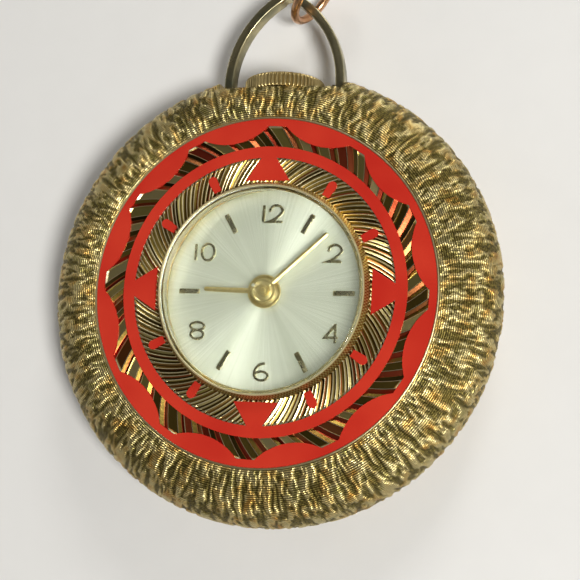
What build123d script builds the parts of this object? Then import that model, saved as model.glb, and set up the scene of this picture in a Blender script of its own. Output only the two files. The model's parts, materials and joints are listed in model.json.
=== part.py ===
from build123d import *
import math
import os

os.makedirs("parts", exist_ok=True)

# A hand-wound pendant watch, lying on its back: X to 3 o'clock, Y to 12 o'clock, Z out of the dial.
# The origin is the centre of the flat face on which the case back rests. Millimetres.

# Case, around the movement and its spacer
movement_radius = 9.87
movement_clearance = 0.03
spacer_wall = 5.15
spacer_clearance = 0.05
case_bulge = 3.9
case_widest_height = 3.7
case_rim_height = 1.55
case_rim_width = 2.5
flange_thickness = 0.6
crystal_ledge = 0.2
bark_groove_count = 72
bark_groove_depth = 0.18
bark_groove_half_width = 0.35
bark_groove_fade = 1.4
bark_groove_middle_shares = (0.36, 0.66)
back_dish_width = 6.1
back_thickness = 0.5
back_snap_thickness = 0.55
back_snap_height = 0.75
back_snap_clearance = 0.05

# Ornament plate with its raised lip and its enamel fills
ornament_thickness = 0.6
dome_width = 4.62
ornament_clearance = 0.03
lip_rise = 0.75
lip_top_width = 0.15
lip_foot_width = 0.5
enamel_depth = 0.25
scallop_count = 12
ornament_rim_width = 0.2
scallop_edge_width = 0.6
scallop_depth = 1.12
scallop_cusp_width = 1.5
facet_band_width = 0.6
thin_ring_width = 0.93
hatch_width = 2.0
triangle_apex_gap = 0.08
base_gap = 0.15
triangle_base_width = 2.9
hour_bar_tip_gap = 0.45
hour_bar_width = 0.78
hour_bar_foot_width = 0.62
ornament_turn = 2.5

# Crystal
crystal_clearance = 0.02
crystal_wall = 0.45
crystal_side_height = 1.35
crystal_dome_rise = 1.5
crystal_thickness = 0.6

# Dial and hands
dial_overlap = 0.5
dial_gap = 0.55
dial_thickness = 0.4
flange_gap = 0.25
dial_hole_radius = 0.95
dial_foot_radius = 0.35
dial_foot_inset = 1.1
dial_foot_angle = 35.0
marker_inset = 2.5
marker_thickness = 0.15
numeral_height = 1.55
numeral_stroke = 0.2
numeral_gap = 0.3
baton_length = 1.75
baton_width = 0.4
hand_thickness = 0.12
hand_width = 0.38
hand_ridge_thickness = 0.17
hand_boss_thickness = 0.2
hour_hand_shortfall = 1.4
hour_hand_boss_radius = 1.35
hour_hand_rise = 0.4
hour_hand_clock_angle = 273.8
minute_hand_excess = 0.45
minute_hand_boss_radius = 1.0
minute_hand_rise = 0.75
minute_hand_clock_angle = 45.6

# Crown, stem and bow
stem_height = 3.5
stem_radius = 0.55
stem_square = 0.62
stem_square_end = 4.6
stem_hole_clearance = 0.05
stem_groove_radius = 0.35
crown_radius = 3.4
crown_length = 1.7
crown_dome_rise = 0.55
crown_seat_gap = 0.1
crown_side_gap = 0.2
crown_bore_depth = 0.9
crown_skirt_wall = 0.6
crown_boss_radius = 1.1
crown_flute_count = 60
crown_flute_depth = 0.12
notch_depth = 1.95
bow_width = 1.15
bow_depth = 1.4
bow_foot_place = 4.85
bow_leg_straight = 1.1
bow_leg_rise = 7.55
bow_apex_half_width = 0.75
bow_apex_rise = 0.4
bow_clearance = 0.02

# Jump ring and chain link
ring_middle_radius = 2.3
ring_wire_radius = 0.36
ring_shift = 0.94
ring_leg_share = 0.9
link_middle_radius = 1.85
link_wire_radius = 0.35
link_gap = 0.12
link_turn = -12.0

# Movement: plates and bridges
plate_thickness = 0.85
train_space = 1.7
bridge_thickness = 0.75
spacer_shoulder = 0.6
pocket_depth = 0.45
pivot_radius = 0.12
pivot_clearance = 0.03
arbor_radius = 0.28
foot_radius = 0.75
bridge_margin = 1.0
bridge_inset = 0.32
screw_head_radius = 0.55
screw_head_thickness = 0.22
screw_radius = 0.3
screw_clearance = 0.02
screw_slot_width = 0.14
screw_slot_depth = 0.09

# Winding work
barrel_teeth = 60
barrel_module = 0.14
barrel_bearing = 15.0
barrel_gap = 0.08
barrel_wall = 0.3
barrel_floor = 0.18
barrel_cover_thickness = 0.16
barrel_arbor_radius = 0.75
barrel_pivot_radius = 0.4
mainspring_turns = 5
mainspring_strip = 0.12
mainspring_gap = 0.05
ratchet_teeth = 40
crown_wheel_teeth = 30
winding_module = 0.16
wheel_lift = 0.05
winding_wheel_thickness = 0.3
crown_core_radius = 0.6
contrate_teeth = 18
contrate_outer_radius = 2.4
contrate_inner_radius = 2.0
contrate_ring_height = 0.2
contrate_tooth_height = 0.3
winding_pinion_teeth = 12
winding_pinion_module = 0.25
winding_pinion_start = 6.05
winding_pinion_length = 0.95
sliding_pinion_start = 4.95
sliding_pinion_gap = 0.05
setting_end_teeth = 12
sliding_pinion_radius = 1.1
sliding_groove_radius = 0.85
sliding_groove_width = 0.4
stem_block_depth = 0.8
stem_block_half = 1.2
stem_block_inset = 0.3
barrel_bridge_corner = (2.6, -8.4)
barrel_bridge_reach = 3.6
train_bridge_side = 1.25
crown_recess_depth = 0.5
contrate_tooth_share = 0.4
barrel_start = 0.43
click_clearance = 0.03
screw_turn_step = 37.0
crown_pull = 0.6
click_radius = 0.5
click_reach = 4.15
click_bearing = -70.0
click_beak = 1.0
click_beak_width = 0.125
click_spring_width = 0.14
click_spring_bearing = -40.0
click_spring_foot_bearing = -80.0
click_spring_foot_reach = 2.4
clamp_bearings = (-20.0, 200.0)
clamp_inset = 0.87
clamp_inner_reach = 0.55
clamp_reach = 1.3
clamp_width = 1.4
clamp_thickness = 0.25
clamp_side_gap = 0.1
clamp_head_radius = 0.45

# Going train: teeth and modules from the centre wheel to the escape wheel
center_teeth = 48
center_pinion_teeth = 10
third_teeth = 45
third_pinion_teeth = 6
fourth_teeth = 60
fourth_pinion_teeth = 6
escape_teeth = 15
escape_pinion_teeth = 6
center_module = 0.13
third_module = 0.11
fourth_module = 0.08
escape_radius = 1.35
wheel_thickness = 0.16
wheel_rim = 0.4
wheel_hub_radius = 0.6
spoke_width = 0.3
train_arbor_radius = 0.2
pivot_depth = 0.3
leaf_margin = 0.06
escape_root_radius = 1.05
escape_inner_radius = 0.8
escape_hub_radius = 0.4
escape_tooth_lean = 0.35
third_bearing = 253.4
fourth_bearing = 201.8
escape_bearing = 155.0
center_wheel_lift = 0.15
third_wheel_lift = 0.7
fourth_wheel_lift = 1.43
escape_wheel_lift = 1.13

# Escapement
balance_place = (-5.0, 1.5)
balance_radius = 3.5
balance_rim = 0.5
balance_lift = 0.47
balance_thickness = 0.3
balance_arm_width = 0.45
staff_radius = 0.25
roller_radius = 0.55
roller_thickness = 0.12
impulse_pin_radius = 0.1
impulse_pin_place = 0.38
hairspring_lift = 0.1
hairspring_thickness = 0.14
hairspring_strip = 0.08
hairspring_turns = 4
hairspring_inner_radius = 0.42
hairspring_outer_radius = 1.6
pallet_reach = 1.9
pallet_thickness = 0.14
pallet_arm_width = 0.26
pallet_stone_reach = 1.6
pallet_stone_bearing = 32.0
pallet_stone_side = 0.16
pallet_fork_width = 0.62
pallet_fork_length = 0.35
pallet_notch_width = 0.28
pallet_notch_depth = 0.22
pallet_fork_gap = 0.55
pallet_bridge_lift = 0.85
pallet_bridge_thickness = 0.18
pallet_bridge_width = 0.7
pallet_bridge_shift = 0.25
pallet_bridge_half = 1.3
regulator_gap = 0.05
regulator_boss_radius = 0.5
regulator_bearing = 200.0
regulator_thickness = 0.15
regulator_ring_radius = 0.85
regulator_length = 3.1
regulator_width = 0.35

# Motion work and setting work, in the pocket of the main plate and above it
motion_module = 0.12
cannon_teeth = 12
minute_teeth = 36
minute_pinion_teeth = 10
hour_teeth = 40
setting_teeth = 20
motion_floor_gap = 0.05
motion_thickness = 0.17
cannon_pipe_radius = 0.45
cannon_bore_clearance = 0.02
hour_pipe_radius = 0.78
hour_bore_clearance = 0.04
post_radius = 0.3
post_clearance = 0.04
setting_gap = 0.1
setting_lever_place = (2.9, 8.05)
setting_lever_radius = 0.6
tongue_radius = 0.12
tongue_slot_half = 0.22
tongue_lift = 0.05
lever_thickness = 0.2
lever_arm_width = 0.5
yoke_place = (-3.0, 5.2)
yoke_radius = 0.55
yoke_spring_foot = (-6.0, 3.6)
yoke_spring_tip = (-2.2, 4.7)
spring_foot_radius = 0.4

# Shares of a gear's module and pitch that shape its teeth
root_share = 1.1
tip_share = 0.8
root_width_share = 0.27
tip_width_share = 0.1

# Counts of the spokes, and of the hours on the dial
wheel_spokes = 5
escape_spokes = 4
dial_hours = 12
quarter_hours = 3

hour_angle = 360 / dial_hours
overrun = 1.0

# Heights, from the stem up to the ornament plate and down to the winding wheels
plate_low = stem_height + stem_radius
plate_high = plate_low + plate_thickness
dial_low = plate_high + dial_gap
dial_height = dial_low + dial_thickness
flange_low = dial_height + flange_gap
seat_floor = flange_low + flange_thickness
ornament_height = seat_floor + ornament_thickness
lip_top = ornament_height + lip_rise
bridge_high = plate_low - train_space
bridge_low = bridge_high - bridge_thickness
wheel_high = bridge_low - wheel_lift
wheel_low = wheel_high - winding_wheel_thickness
pocket_floor = plate_high - pocket_depth
center_wheel_height = bridge_high + center_wheel_lift
third_wheel_height = bridge_high + third_wheel_lift
fourth_wheel_height = bridge_high + fourth_wheel_lift
escape_wheel_height = bridge_high + escape_wheel_lift
balance_height = bridge_high + balance_lift
hairspring_height = bridge_high + hairspring_lift
pallet_bridge_low = bridge_high + pallet_bridge_lift

# Radii, from the movement out to the case and from the case in to the dial
case_bore_radius = movement_radius + movement_clearance + spacer_wall + spacer_clearance
case_radius = case_bore_radius + case_bulge
case_rim_radius = case_bore_radius + case_rim_width
back_flat_radius = case_rim_radius - back_dish_width
notch_floor = case_radius - notch_depth
seat_radius = case_radius - dome_width
ornament_radius = seat_radius - ornament_clearance
scallop_outer_radius = ornament_radius - ornament_rim_width
scallop_cusp_radius = scallop_outer_radius - scallop_edge_width
scallop_tip_radius = scallop_cusp_radius - scallop_depth
thin_ring_outer_radius = scallop_tip_radius - facet_band_width
thin_ring_inner_radius = thin_ring_outer_radius - thin_ring_width
lip_foot_radius = thin_ring_inner_radius - hatch_width
lip_bore_radius = lip_foot_radius - lip_foot_width
flange_bore_radius = lip_bore_radius - crystal_ledge
dial_radius = lip_bore_radius + dial_overlap
marker_radius = dial_radius - marker_inset
hour_hand_length = marker_radius - hour_hand_shortfall
minute_hand_length = marker_radius + minute_hand_excess
bridge_edge = movement_radius - bridge_inset
pivot_hole_radius = pivot_radius + pivot_clearance
motion_low = pocket_floor + motion_floor_gap
upper_low = plate_high + motion_floor_gap
regulator_low = bridge_low - regulator_gap - regulator_thickness


def polar(start, distance, bearing):
    """The point at a distance and bearing (degrees from +X) from a start point."""
    angle = math.radians(bearing)
    return (start[0] + distance * math.cos(angle), start[1] + distance * math.sin(angle))


def bearing_of(start, end):
    return math.degrees(math.atan2(end[1] - start[1], end[0] - start[0]))


def distance_of(start, end):
    return math.hypot(end[0] - start[0], end[1] - start[1])


def crossing(first, second, first_radius, second_radius):
    """Where two circles cross, on the left of the way from the first centre to the second."""
    apart = distance_of(first, second)
    along = (apart**2 + first_radius**2 - second_radius**2) / (2 * apart)
    beside = math.sqrt(first_radius**2 - along**2)
    middle = polar(first, along, bearing_of(first, second))
    return polar(middle, beside, bearing_of(first, second) + 90)


def level(place, height, turn=0.0):
    """A plane across Z at a place, with its X axis turned by an angle in degrees."""
    angle = math.radians(turn)
    return Plane(origin=(place[0], place[1], height), x_dir=(math.cos(angle), math.sin(angle), 0))


def across_stem(distance):
    """A plane across the stem, looking outwards along Y, with Z upwards."""
    return Plane(origin=(0, distance, stem_height), x_dir=(-1, 0, 0), z_dir=(0, 1, 0))


def round_bar(place, radius, low, high, mode=Mode.ADD):
    """A round post, or a bore with Mode.SUBTRACT, from one height to another."""
    with BuildSketch(level(place, low)) as face:
        Circle(radius)
    extrude(face.sketch, amount=high - low, mode=mode)


def pivot_hole(place, low, high):
    round_bar(place, pivot_hole_radius, low, high, mode=Mode.SUBTRACT)


def gear_face(teeth, module, pointed=False):
    """A toothed outline: the first tooth points along X."""
    root = module * (teeth / 2 - root_share)
    tip = module * (teeth / 2 + tip_share)
    pitch = 2 * math.pi / teeth
    points = []
    for tooth in range(teeth):
        middle = tooth * pitch
        points.append((root, middle - root_width_share * pitch))
        if pointed:
            points.append((tip, middle))
        else:
            points.append((tip, middle - tip_width_share * pitch))
            points.append((tip, middle + tip_width_share * pitch))
        points.append((root, middle + root_width_share * pitch))
    with BuildSketch() as face:
        with BuildLine():
            Polyline(*[(r * math.cos(a), r * math.sin(a)) for r, a in points], close=True)
        make_face()
    return face.sketch


def wheel_with_spokes(place, height, thickness, teeth, module, turn, spokes, bore):
    """A thin toothed wheel with a rim, spokes and a hub bored for its arbor."""
    inner = module * (teeth / 2 - root_share) - wheel_rim
    with BuildSketch(level(place, height, turn)) as face:
        add(gear_face(teeth, module, pointed=True))
        Circle(inner, mode=Mode.SUBTRACT)
        Circle(wheel_hub_radius)
        with PolarLocations(0, spokes):
            Rectangle(inner + wheel_rim / 2, spoke_width, align=(Align.MIN, Align.CENTER))
        Circle(bore, mode=Mode.SUBTRACT)
    extrude(face.sketch, amount=thickness)


def pinion_leaves(place, low, high, teeth, module, turn):
    with BuildSketch(level(place, low, turn)) as face:
        add(gear_face(teeth, module))
    extrude(face.sketch, amount=high - low)


def finish(built, label):
    """Name a finished piece and write it."""
    built.part.label = label
    export_step(built.part, f"parts/{label}.step")


# Places of the wheels
center_place = (0.0, 0.0)
barrel_distance = barrel_module * (barrel_teeth + center_pinion_teeth) / 2
barrel_place = polar(center_place, barrel_distance, barrel_bearing)
third_distance = center_module * (center_teeth + third_pinion_teeth) / 2
third_place = polar(center_place, third_distance, third_bearing)
fourth_distance = third_module * (third_teeth + fourth_pinion_teeth) / 2
fourth_place = polar(third_place, fourth_distance, fourth_bearing)
escape_distance = fourth_module * (fourth_teeth + escape_pinion_teeth) / 2
escape_place = polar(fourth_place, escape_distance, escape_bearing)
escape_to_balance = bearing_of(escape_place, balance_place)
pallet_place = polar(escape_place, pallet_reach, escape_to_balance)
winding_distance = winding_module * (ratchet_teeth + crown_wheel_teeth) / 2
contrate_middle_radius = (contrate_outer_radius + contrate_inner_radius) / 2
crown_wheel_place = (0.0, barrel_place[1] + math.sqrt(winding_distance**2 - barrel_place[0] ** 2))
motion_distance = motion_module * (cannon_teeth + minute_teeth) / 2
motion_upper_module = 2 * motion_distance / (minute_pinion_teeth + hour_teeth)
setting_distance = motion_module * (setting_teeth + minute_teeth) / 2
setting_radius = motion_module * (setting_teeth / 2 + tip_share)
setting_place = (0.0, sliding_pinion_start - crown_pull - setting_gap - setting_radius)
minute_wheel_place = crossing(center_place, setting_place, motion_distance, setting_distance)
bridge_foot_place_shares = [(0.586, -0.702), (0.607, 0.712), (-0.272, 0.827)]
train_foot_place_shares = [(0.136, -0.869), (-0.754, -0.545)]
cock_foot_place_share = (-0.597, 0.67)
bridge_foot_places = [(bridge_edge * x, bridge_edge * y) for x, y in bridge_foot_place_shares]
train_foot_places = [(bridge_edge * x, bridge_edge * y) for x, y in train_foot_place_shares]
cock_foot_place = (bridge_edge * cock_foot_place_share[0], bridge_edge * cock_foot_place_share[1])
clamp_place_radius = movement_radius - clamp_inset
clamp_screw_places = [polar(center_place, clamp_place_radius, bearing) for bearing in clamp_bearings]
dial_foot_places = [
    polar(center_place, dial_radius - dial_foot_inset, dial_foot_angle),
    polar(center_place, dial_radius - dial_foot_inset, dial_foot_angle + 180),
]

# Arc of the dome, from the widest point of the case up to the seat
dome_rise = ornament_height - case_widest_height
dome_arc_radius = (dome_width**2 + dome_rise**2) / (2 * dome_width)
dome_span = math.degrees(math.atan2(dome_rise, dome_arc_radius - dome_width))
dome_center = (case_radius - dome_arc_radius, case_widest_height)


def bark_groove(middle_share):
    """A V swept over the dome, deepest at a share of its arc and fading out towards both ends."""
    across, height = polar(dome_center, -bark_groove_fade, dome_span * middle_share)
    tip = across + dome_arc_radius - bark_groove_depth + bark_groove_fade
    top = tip + bark_groove_depth + overrun
    spread = bark_groove_half_width * (top - tip) / bark_groove_depth
    with BuildPart() as groove:
        with BuildSketch(Plane.XY.offset(height)):
            with BuildLine():
                Polyline((tip, 0), (top, spread), (top, -spread), close=True)
            make_face()
        revolve(axis=Axis((across, 0, height), (0, -1, 0)), revolution_arc=dome_span)
    return groove.part


bark_grooves = [bark_groove(share) for share in bark_groove_middle_shares]

# Case body: a domed shell with a seat for the ornament plate and a notch for crown and bow
with BuildPart() as case_body:
    with BuildSketch(Plane.XZ):
        with BuildLine():
            widest = (case_radius, case_widest_height)
            TangentArc(widest, (seat_radius, ornament_height), tangent=(0, 1))
            TangentArc(widest, (case_rim_radius, case_rim_height), tangent=(0, -1))
            Polyline(
                (case_rim_radius, case_rim_height),
                (case_bore_radius, case_rim_height),
                (case_bore_radius, flange_low),
                (flange_bore_radius, flange_low),
                (flange_bore_radius, seat_floor),
                (seat_radius, seat_floor),
                (seat_radius, ornament_height),
            )
        make_face()
    revolve(axis=Axis.Z)
    for turn, groove in enumerate(bark_grooves):
        first_angle = (turn + 1 / 2) * 360 / bark_groove_count
        with PolarLocations(0, bark_groove_count // len(bark_grooves), start_angle=first_angle):
            add(groove, mode=Mode.SUBTRACT)
    with BuildSketch(across_stem(notch_floor)):
        Rectangle(2 * (crown_radius + crown_side_gap), 2 * case_radius)
        with Locations((0, -bow_depth / 2 - bow_clearance)):
            Rectangle(
                2 * (bow_foot_place + bow_width / 2 + bow_clearance),
                case_radius,
                align=(Align.CENTER, Align.MIN),
            )
    extrude(amount=case_radius - notch_floor + overrun, mode=Mode.SUBTRACT)
    with BuildSketch(across_stem(case_bore_radius - overrun)):
        Circle(stem_radius + stem_hole_clearance)
    extrude(amount=case_radius - case_bore_radius + overrun, mode=Mode.SUBTRACT)
finish(case_body, "case_body")

# Case back: a dished cover that snaps into the case
back_arc_radius = ((case_rim_radius - back_flat_radius) ** 2 + case_rim_height**2) / (2 * case_rim_height)
snap_outer_radius = case_bore_radius - back_snap_clearance
snap_inner_radius = snap_outer_radius - back_snap_thickness
back_rise = back_arc_radius - math.sqrt(back_arc_radius**2 - (snap_inner_radius - back_flat_radius) ** 2)
snap_top = case_rim_height + back_snap_height
with BuildPart() as case_back:
    with BuildSketch(Plane.XZ):
        with BuildLine():
            TangentArc((back_flat_radius, 0), (case_rim_radius, case_rim_height), tangent=(1, 0))
            Polyline(
                (case_rim_radius, case_rim_height),
                (snap_outer_radius, case_rim_height),
                (snap_outer_radius, snap_top),
                (snap_inner_radius, snap_top),
                (snap_inner_radius, back_thickness + back_rise),
            )
            TangentArc(
                (back_flat_radius, back_thickness),
                (snap_inner_radius, back_thickness + back_rise),
                tangent=(1, 0),
            )
            Polyline((back_flat_radius, back_thickness), (0, back_thickness), (0, 0), (back_flat_radius, 0))
        make_face()
    revolve(axis=Axis.Z)
    with BuildSketch(across_stem(notch_floor)):
        Rectangle(2 * (crown_radius + crown_side_gap), 2 * case_radius)
    extrude(amount=case_radius - notch_floor + overrun, mode=Mode.SUBTRACT)
finish(case_back, "case_back")


def scallop_face():
    """The red scalloped ring: a disc less the star of cusps, whose sides bulge inwards as lobes."""
    half_pitch = math.pi / scallop_count
    cusp_half_angle = scallop_cusp_width / (2 * scallop_cusp_radius)
    with BuildSketch() as face:
        Circle(scallop_outer_radius)
        with BuildSketch(mode=Mode.SUBTRACT):
            with BuildLine():
                for cusp in range(scallop_count):
                    middle = 2 * half_pitch * cusp
                    start = middle - cusp_half_angle
                    end = middle + cusp_half_angle
                    following = middle + 2 * half_pitch - cusp_half_angle
                    outer = [
                        (scallop_cusp_radius * math.cos(a), scallop_cusp_radius * math.sin(a))
                        for a in (start, end, following)
                    ]
                    tip = (
                        scallop_tip_radius * math.cos(middle + half_pitch),
                        scallop_tip_radius * math.sin(middle + half_pitch),
                    )
                    Line(outer[0], outer[1])
                    ThreePointArc(outer[1], tip, outer[2])
            make_face()
    return face.sketch


def triangle_face():
    """Four triangles, their points outwards, at 12, 3, 6 and 9."""
    base = lip_foot_radius + base_gap
    apex = thin_ring_inner_radius - triangle_apex_gap
    with BuildSketch() as face:
        for hour in range(0, dial_hours, quarter_hours):
            with BuildLine(Plane.XY.rotated((0, 0, hour_angle * hour))):
                Polyline(
                    (base, -triangle_base_width / 2),
                    (base, triangle_base_width / 2),
                    (apex, 0),
                    close=True,
                )
            make_face()
    return face.sketch


def hour_bar_face():
    """Eight short bars at the other hours, wider and rounded at their outer ends."""
    foot = lip_foot_radius + base_gap
    tip = thin_ring_inner_radius - hour_bar_tip_gap
    shoulder = tip - hour_bar_width / 2
    with BuildSketch() as face:
        for hour in range(dial_hours):
            if hour % quarter_hours == 0:
                continue
            with BuildLine(Plane.XY.rotated((0, 0, hour_angle * hour))):
                Polyline(
                    (shoulder, -hour_bar_width / 2),
                    (foot, -hour_bar_foot_width / 2),
                    (foot, hour_bar_foot_width / 2),
                    (shoulder, hour_bar_width / 2),
                )
                ThreePointArc(
                    (shoulder, hour_bar_width / 2),
                    (tip, 0),
                    (shoulder, -hour_bar_width / 2),
                )
            make_face()
    return face.sketch


# Ornament plate: a flat ring with a raised lip, pocketed for the enamel
enamel_floor = ornament_height - enamel_depth
ornament_plane = level(center_place, enamel_floor, 90 - ornament_turn)
with BuildPart() as ornament_plate:
    with BuildSketch(Plane.XZ):
        with BuildLine():
            Polyline(
                (lip_bore_radius, seat_floor),
                (ornament_radius, seat_floor),
                (ornament_radius, ornament_height),
                (lip_foot_radius, ornament_height),
                (lip_bore_radius + lip_top_width, lip_top),
                (lip_bore_radius, lip_top),
                close=True,
            )
        make_face()
    revolve(axis=Axis.Z)
    with BuildSketch(ornament_plane):
        add(scallop_face())
        Circle(thin_ring_outer_radius)
        Circle(thin_ring_inner_radius, mode=Mode.SUBTRACT)
        add(triangle_face())
        add(hour_bar_face())
    extrude(amount=enamel_depth + overrun, mode=Mode.SUBTRACT)
finish(ornament_plate, "ornament_plate")

with BuildPart() as enamel_scalloped_ring:
    with BuildSketch(ornament_plane):
        add(scallop_face())
    extrude(amount=enamel_depth)
finish(enamel_scalloped_ring, "enamel_scalloped_ring")

with BuildPart() as enamel_thin_ring:
    with BuildSketch(ornament_plane):
        Circle(thin_ring_outer_radius)
        Circle(thin_ring_inner_radius, mode=Mode.SUBTRACT)
    extrude(amount=enamel_depth)
finish(enamel_thin_ring, "enamel_thin_ring")

with BuildPart() as enamel_hour_triangles:
    with BuildSketch(ornament_plane):
        add(triangle_face())
    extrude(amount=enamel_depth)
finish(enamel_hour_triangles, "enamel_hour_triangles")

with BuildPart() as enamel_hour_bars:
    with BuildSketch(ornament_plane):
        add(hour_bar_face())
    extrude(amount=enamel_depth)
finish(enamel_hour_bars, "enamel_hour_bars")

# Crystal: a clear domed cap that sits on the flange inside the lip
crystal_radius = lip_bore_radius - crystal_clearance
crystal_shoulder = seat_floor + crystal_side_height
with BuildPart() as crystal:
    with BuildSketch(Plane.XZ):
        with BuildLine():
            Line((crystal_radius, seat_floor), (crystal_radius, crystal_shoulder))
            dome_top = crystal_shoulder + crystal_dome_rise
            outer_arc_radius = (crystal_radius**2 + crystal_dome_rise**2) / (2 * crystal_dome_rise)
            RadiusArc((crystal_radius, crystal_shoulder), (0, dome_top), -outer_arc_radius)
            Line((0, dome_top), (0, dome_top - crystal_thickness))
            inner_radius = crystal_radius - crystal_wall
            inner_low = crystal_shoulder - crystal_thickness / 2
            inner_rise = dome_top - crystal_thickness - inner_low
            inner_arc_radius = (inner_radius**2 + inner_rise**2) / (2 * inner_rise)
            RadiusArc((0, dome_top - crystal_thickness), (inner_radius, inner_low), inner_arc_radius)
            Line((inner_radius, inner_low), (inner_radius, seat_floor))
            Line((inner_radius, seat_floor), (crystal_radius, seat_floor))
        make_face()
    revolve(axis=Axis.Z)
finish(crystal, "crystal")

# Dial with its centre hole and its two feet
with BuildPart() as dial:
    round_bar(center_place, dial_radius, dial_low, dial_height)
    round_bar(center_place, dial_hole_radius, dial_low - overrun, dial_height + overrun, mode=Mode.SUBTRACT)
    for foot in dial_foot_places:
        round_bar(foot, dial_foot_radius, plate_high - plate_thickness / 2, dial_low)
finish(dial, "dial")


# Shares of a numeral's height that shape its strokes
digit_width_share = 0.82
loop_width_share = 0.37
top_loop_share = 0.24
waist_share = 0.52
four_bar_share = 0.28
four_stem_share = 0.2


def stroke_face(digit):
    """One numeral drawn with a stroke of even width, its foot centred on the origin."""
    edge = numeral_stroke / 2
    half = digit_width_share * numeral_height / 2 - edge
    low = edge
    high = numeral_height - edge
    waist = waist_share * numeral_height
    loops = {
        "0": [(low, high, half)],
        "6": [(low, waist, half)],
        "8": [(low, waist, half), (waist, high, loop_width_share * numeral_height)],
    }.get(digit, [])
    with BuildSketch() as face:
        for bottom, top, across in loops:
            with Locations((0, (bottom + top) / 2)):
                Ellipse(across + edge, (top - bottom) / 2 + edge)
        for bottom, top, across in loops:
            with Locations((0, (bottom + top) / 2)):
                Ellipse(across - edge, (top - bottom) / 2 - edge, mode=Mode.SUBTRACT)
        if digit not in ("0", "8"):
            with BuildLine():
                if digit == "1":
                    Line((0, low), (0, high))
                if digit == "2":
                    bowl = ThreePointArc((-half, high - half), (0, high), (half, high - half))
                    swing = (half * waist_share, waist * (1 - top_loop_share))
                    ThreePointArc(bowl @ 1, swing, (-half, low))
                    Line((-half, low), (half, low))
                if digit == "4":
                    stem = four_stem_share * numeral_height
                    bar = four_bar_share * numeral_height
                    Polyline((stem, high), (-half, bar), (half, bar))
                if digit == "6":
                    shoulder = (-half * (1 - top_loop_share), (waist + high) / 2)
                    ThreePointArc((-half, (low + waist) / 2), shoulder, (half * waist_share, high))
            trace(line_width=numeral_stroke)
        if digit == "4":
            with Locations((four_stem_share * numeral_height, numeral_height / 2)):
                Rectangle(numeral_stroke, numeral_height)
    return face.sketch


# Applied numerals at the even hours, standing upright on the dial
with BuildPart() as applied_numerals:
    for hour in range(2, dial_hours + 1, 2):
        middle = polar(center_place, marker_radius, 90 - hour_angle * hour)
        text = str(hour)
        step = digit_width_share * numeral_height / 2 + numeral_stroke / 2 + numeral_gap
        starts = {1: [0.0], 2: [-step * (1 - waist_share), step * waist_share]}[len(text)]
        for digit, start in zip(text, starts):
            foot = (middle[0] + start, middle[1] - numeral_height / 2)
            with BuildSketch(level(foot, dial_height)) as face:
                add(stroke_face(digit))
            extrude(face.sketch, amount=marker_thickness)
finish(applied_numerals, "applied_numerals")

with BuildPart() as hour_batons:
    for hour in range(1, dial_hours, 2):
        bearing = 90 - hour_angle * hour
        with BuildSketch(level(polar(center_place, marker_radius, bearing), dial_height, bearing)) as face:
            Rectangle(baton_length, baton_width)
        extrude(face.sketch, amount=marker_thickness)
finish(hour_batons, "hour_batons")


def hand(length, boss_radius, bore_radius, height, clock_angle):
    """A straight hand with a ridge along it and a round boss that fits its pipe."""
    along = level(center_place, height, 90 - clock_angle)
    with BuildSketch(Plane(along.location * Location((length, 0, 0), (0, 90, 0)))) as profile:
        with BuildLine():
            Polyline(
                (0, -hand_width / 2),
                (0, hand_width / 2),
                (-hand_thickness, hand_width / 2),
                (-hand_ridge_thickness, 0),
                (-hand_thickness, -hand_width / 2),
                close=True,
            )
        make_face()
    extrude(profile.sketch, amount=-length)
    round_bar(center_place, boss_radius, height, height + hand_boss_thickness)
    round_bar(center_place, bore_radius, height, height + hand_boss_thickness, mode=Mode.SUBTRACT)


hour_hand_height = dial_height + hour_hand_rise
minute_hand_height = dial_height + minute_hand_rise
with BuildPart() as hour_hand:
    hand(hour_hand_length, hour_hand_boss_radius, hour_pipe_radius, hour_hand_height, hour_hand_clock_angle)
finish(hour_hand, "hour_hand")

with BuildPart() as minute_hand:
    hand(
        minute_hand_length,
        minute_hand_boss_radius,
        cannon_pipe_radius,
        minute_hand_height,
        minute_hand_clock_angle,
    )
finish(minute_hand, "minute_hand")

# Crown: a domed fluted knob with a hollow skirt and a bored boss
crown_low = notch_floor + crown_seat_gap
with BuildPart() as crown:
    with BuildSketch(Plane(origin=(0, crown_low, stem_height), x_dir=(1, 0, 0), z_dir=(0, 0, 1))):
        shoulder = crown_length - crown_dome_rise
        with BuildLine():
            Polyline(
                (0, crown_length),
                (0, crown_bore_depth),
                (crown_boss_radius, crown_bore_depth),
                (crown_boss_radius, 0),
                (crown_radius - crown_skirt_wall, 0),
                (crown_radius, 0),
                (crown_radius, shoulder),
            )
            dome_radius = (crown_radius**2 + crown_dome_rise**2) / (2 * crown_dome_rise)
            RadiusArc((crown_radius, shoulder), (0, crown_length), -dome_radius)
        make_face()
    revolve(axis=Axis(origin=(0, 0, stem_height), direction=(0, 1, 0)))
    with BuildSketch(across_stem(crown_low)):
        Circle(crown_radius - crown_skirt_wall)
        Circle(crown_boss_radius, mode=Mode.SUBTRACT)
    extrude(amount=crown_bore_depth, mode=Mode.SUBTRACT)
    with BuildSketch(across_stem(crown_low)):
        Circle(stem_radius)
    extrude(amount=crown_bore_depth, mode=Mode.SUBTRACT)
    with BuildSketch(across_stem(crown_low)):
        flute_half = math.pi * crown_radius / crown_flute_count
        with PolarLocations(crown_radius, crown_flute_count):
            with BuildLine(mode=Mode.PRIVATE) as flute:
                Polyline((0, -flute_half), (0, flute_half), (-crown_flute_depth, 0), close=True)
            make_face(flute.edges())
    extrude(amount=crown_length, mode=Mode.SUBTRACT)
finish(crown, "crown")

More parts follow.
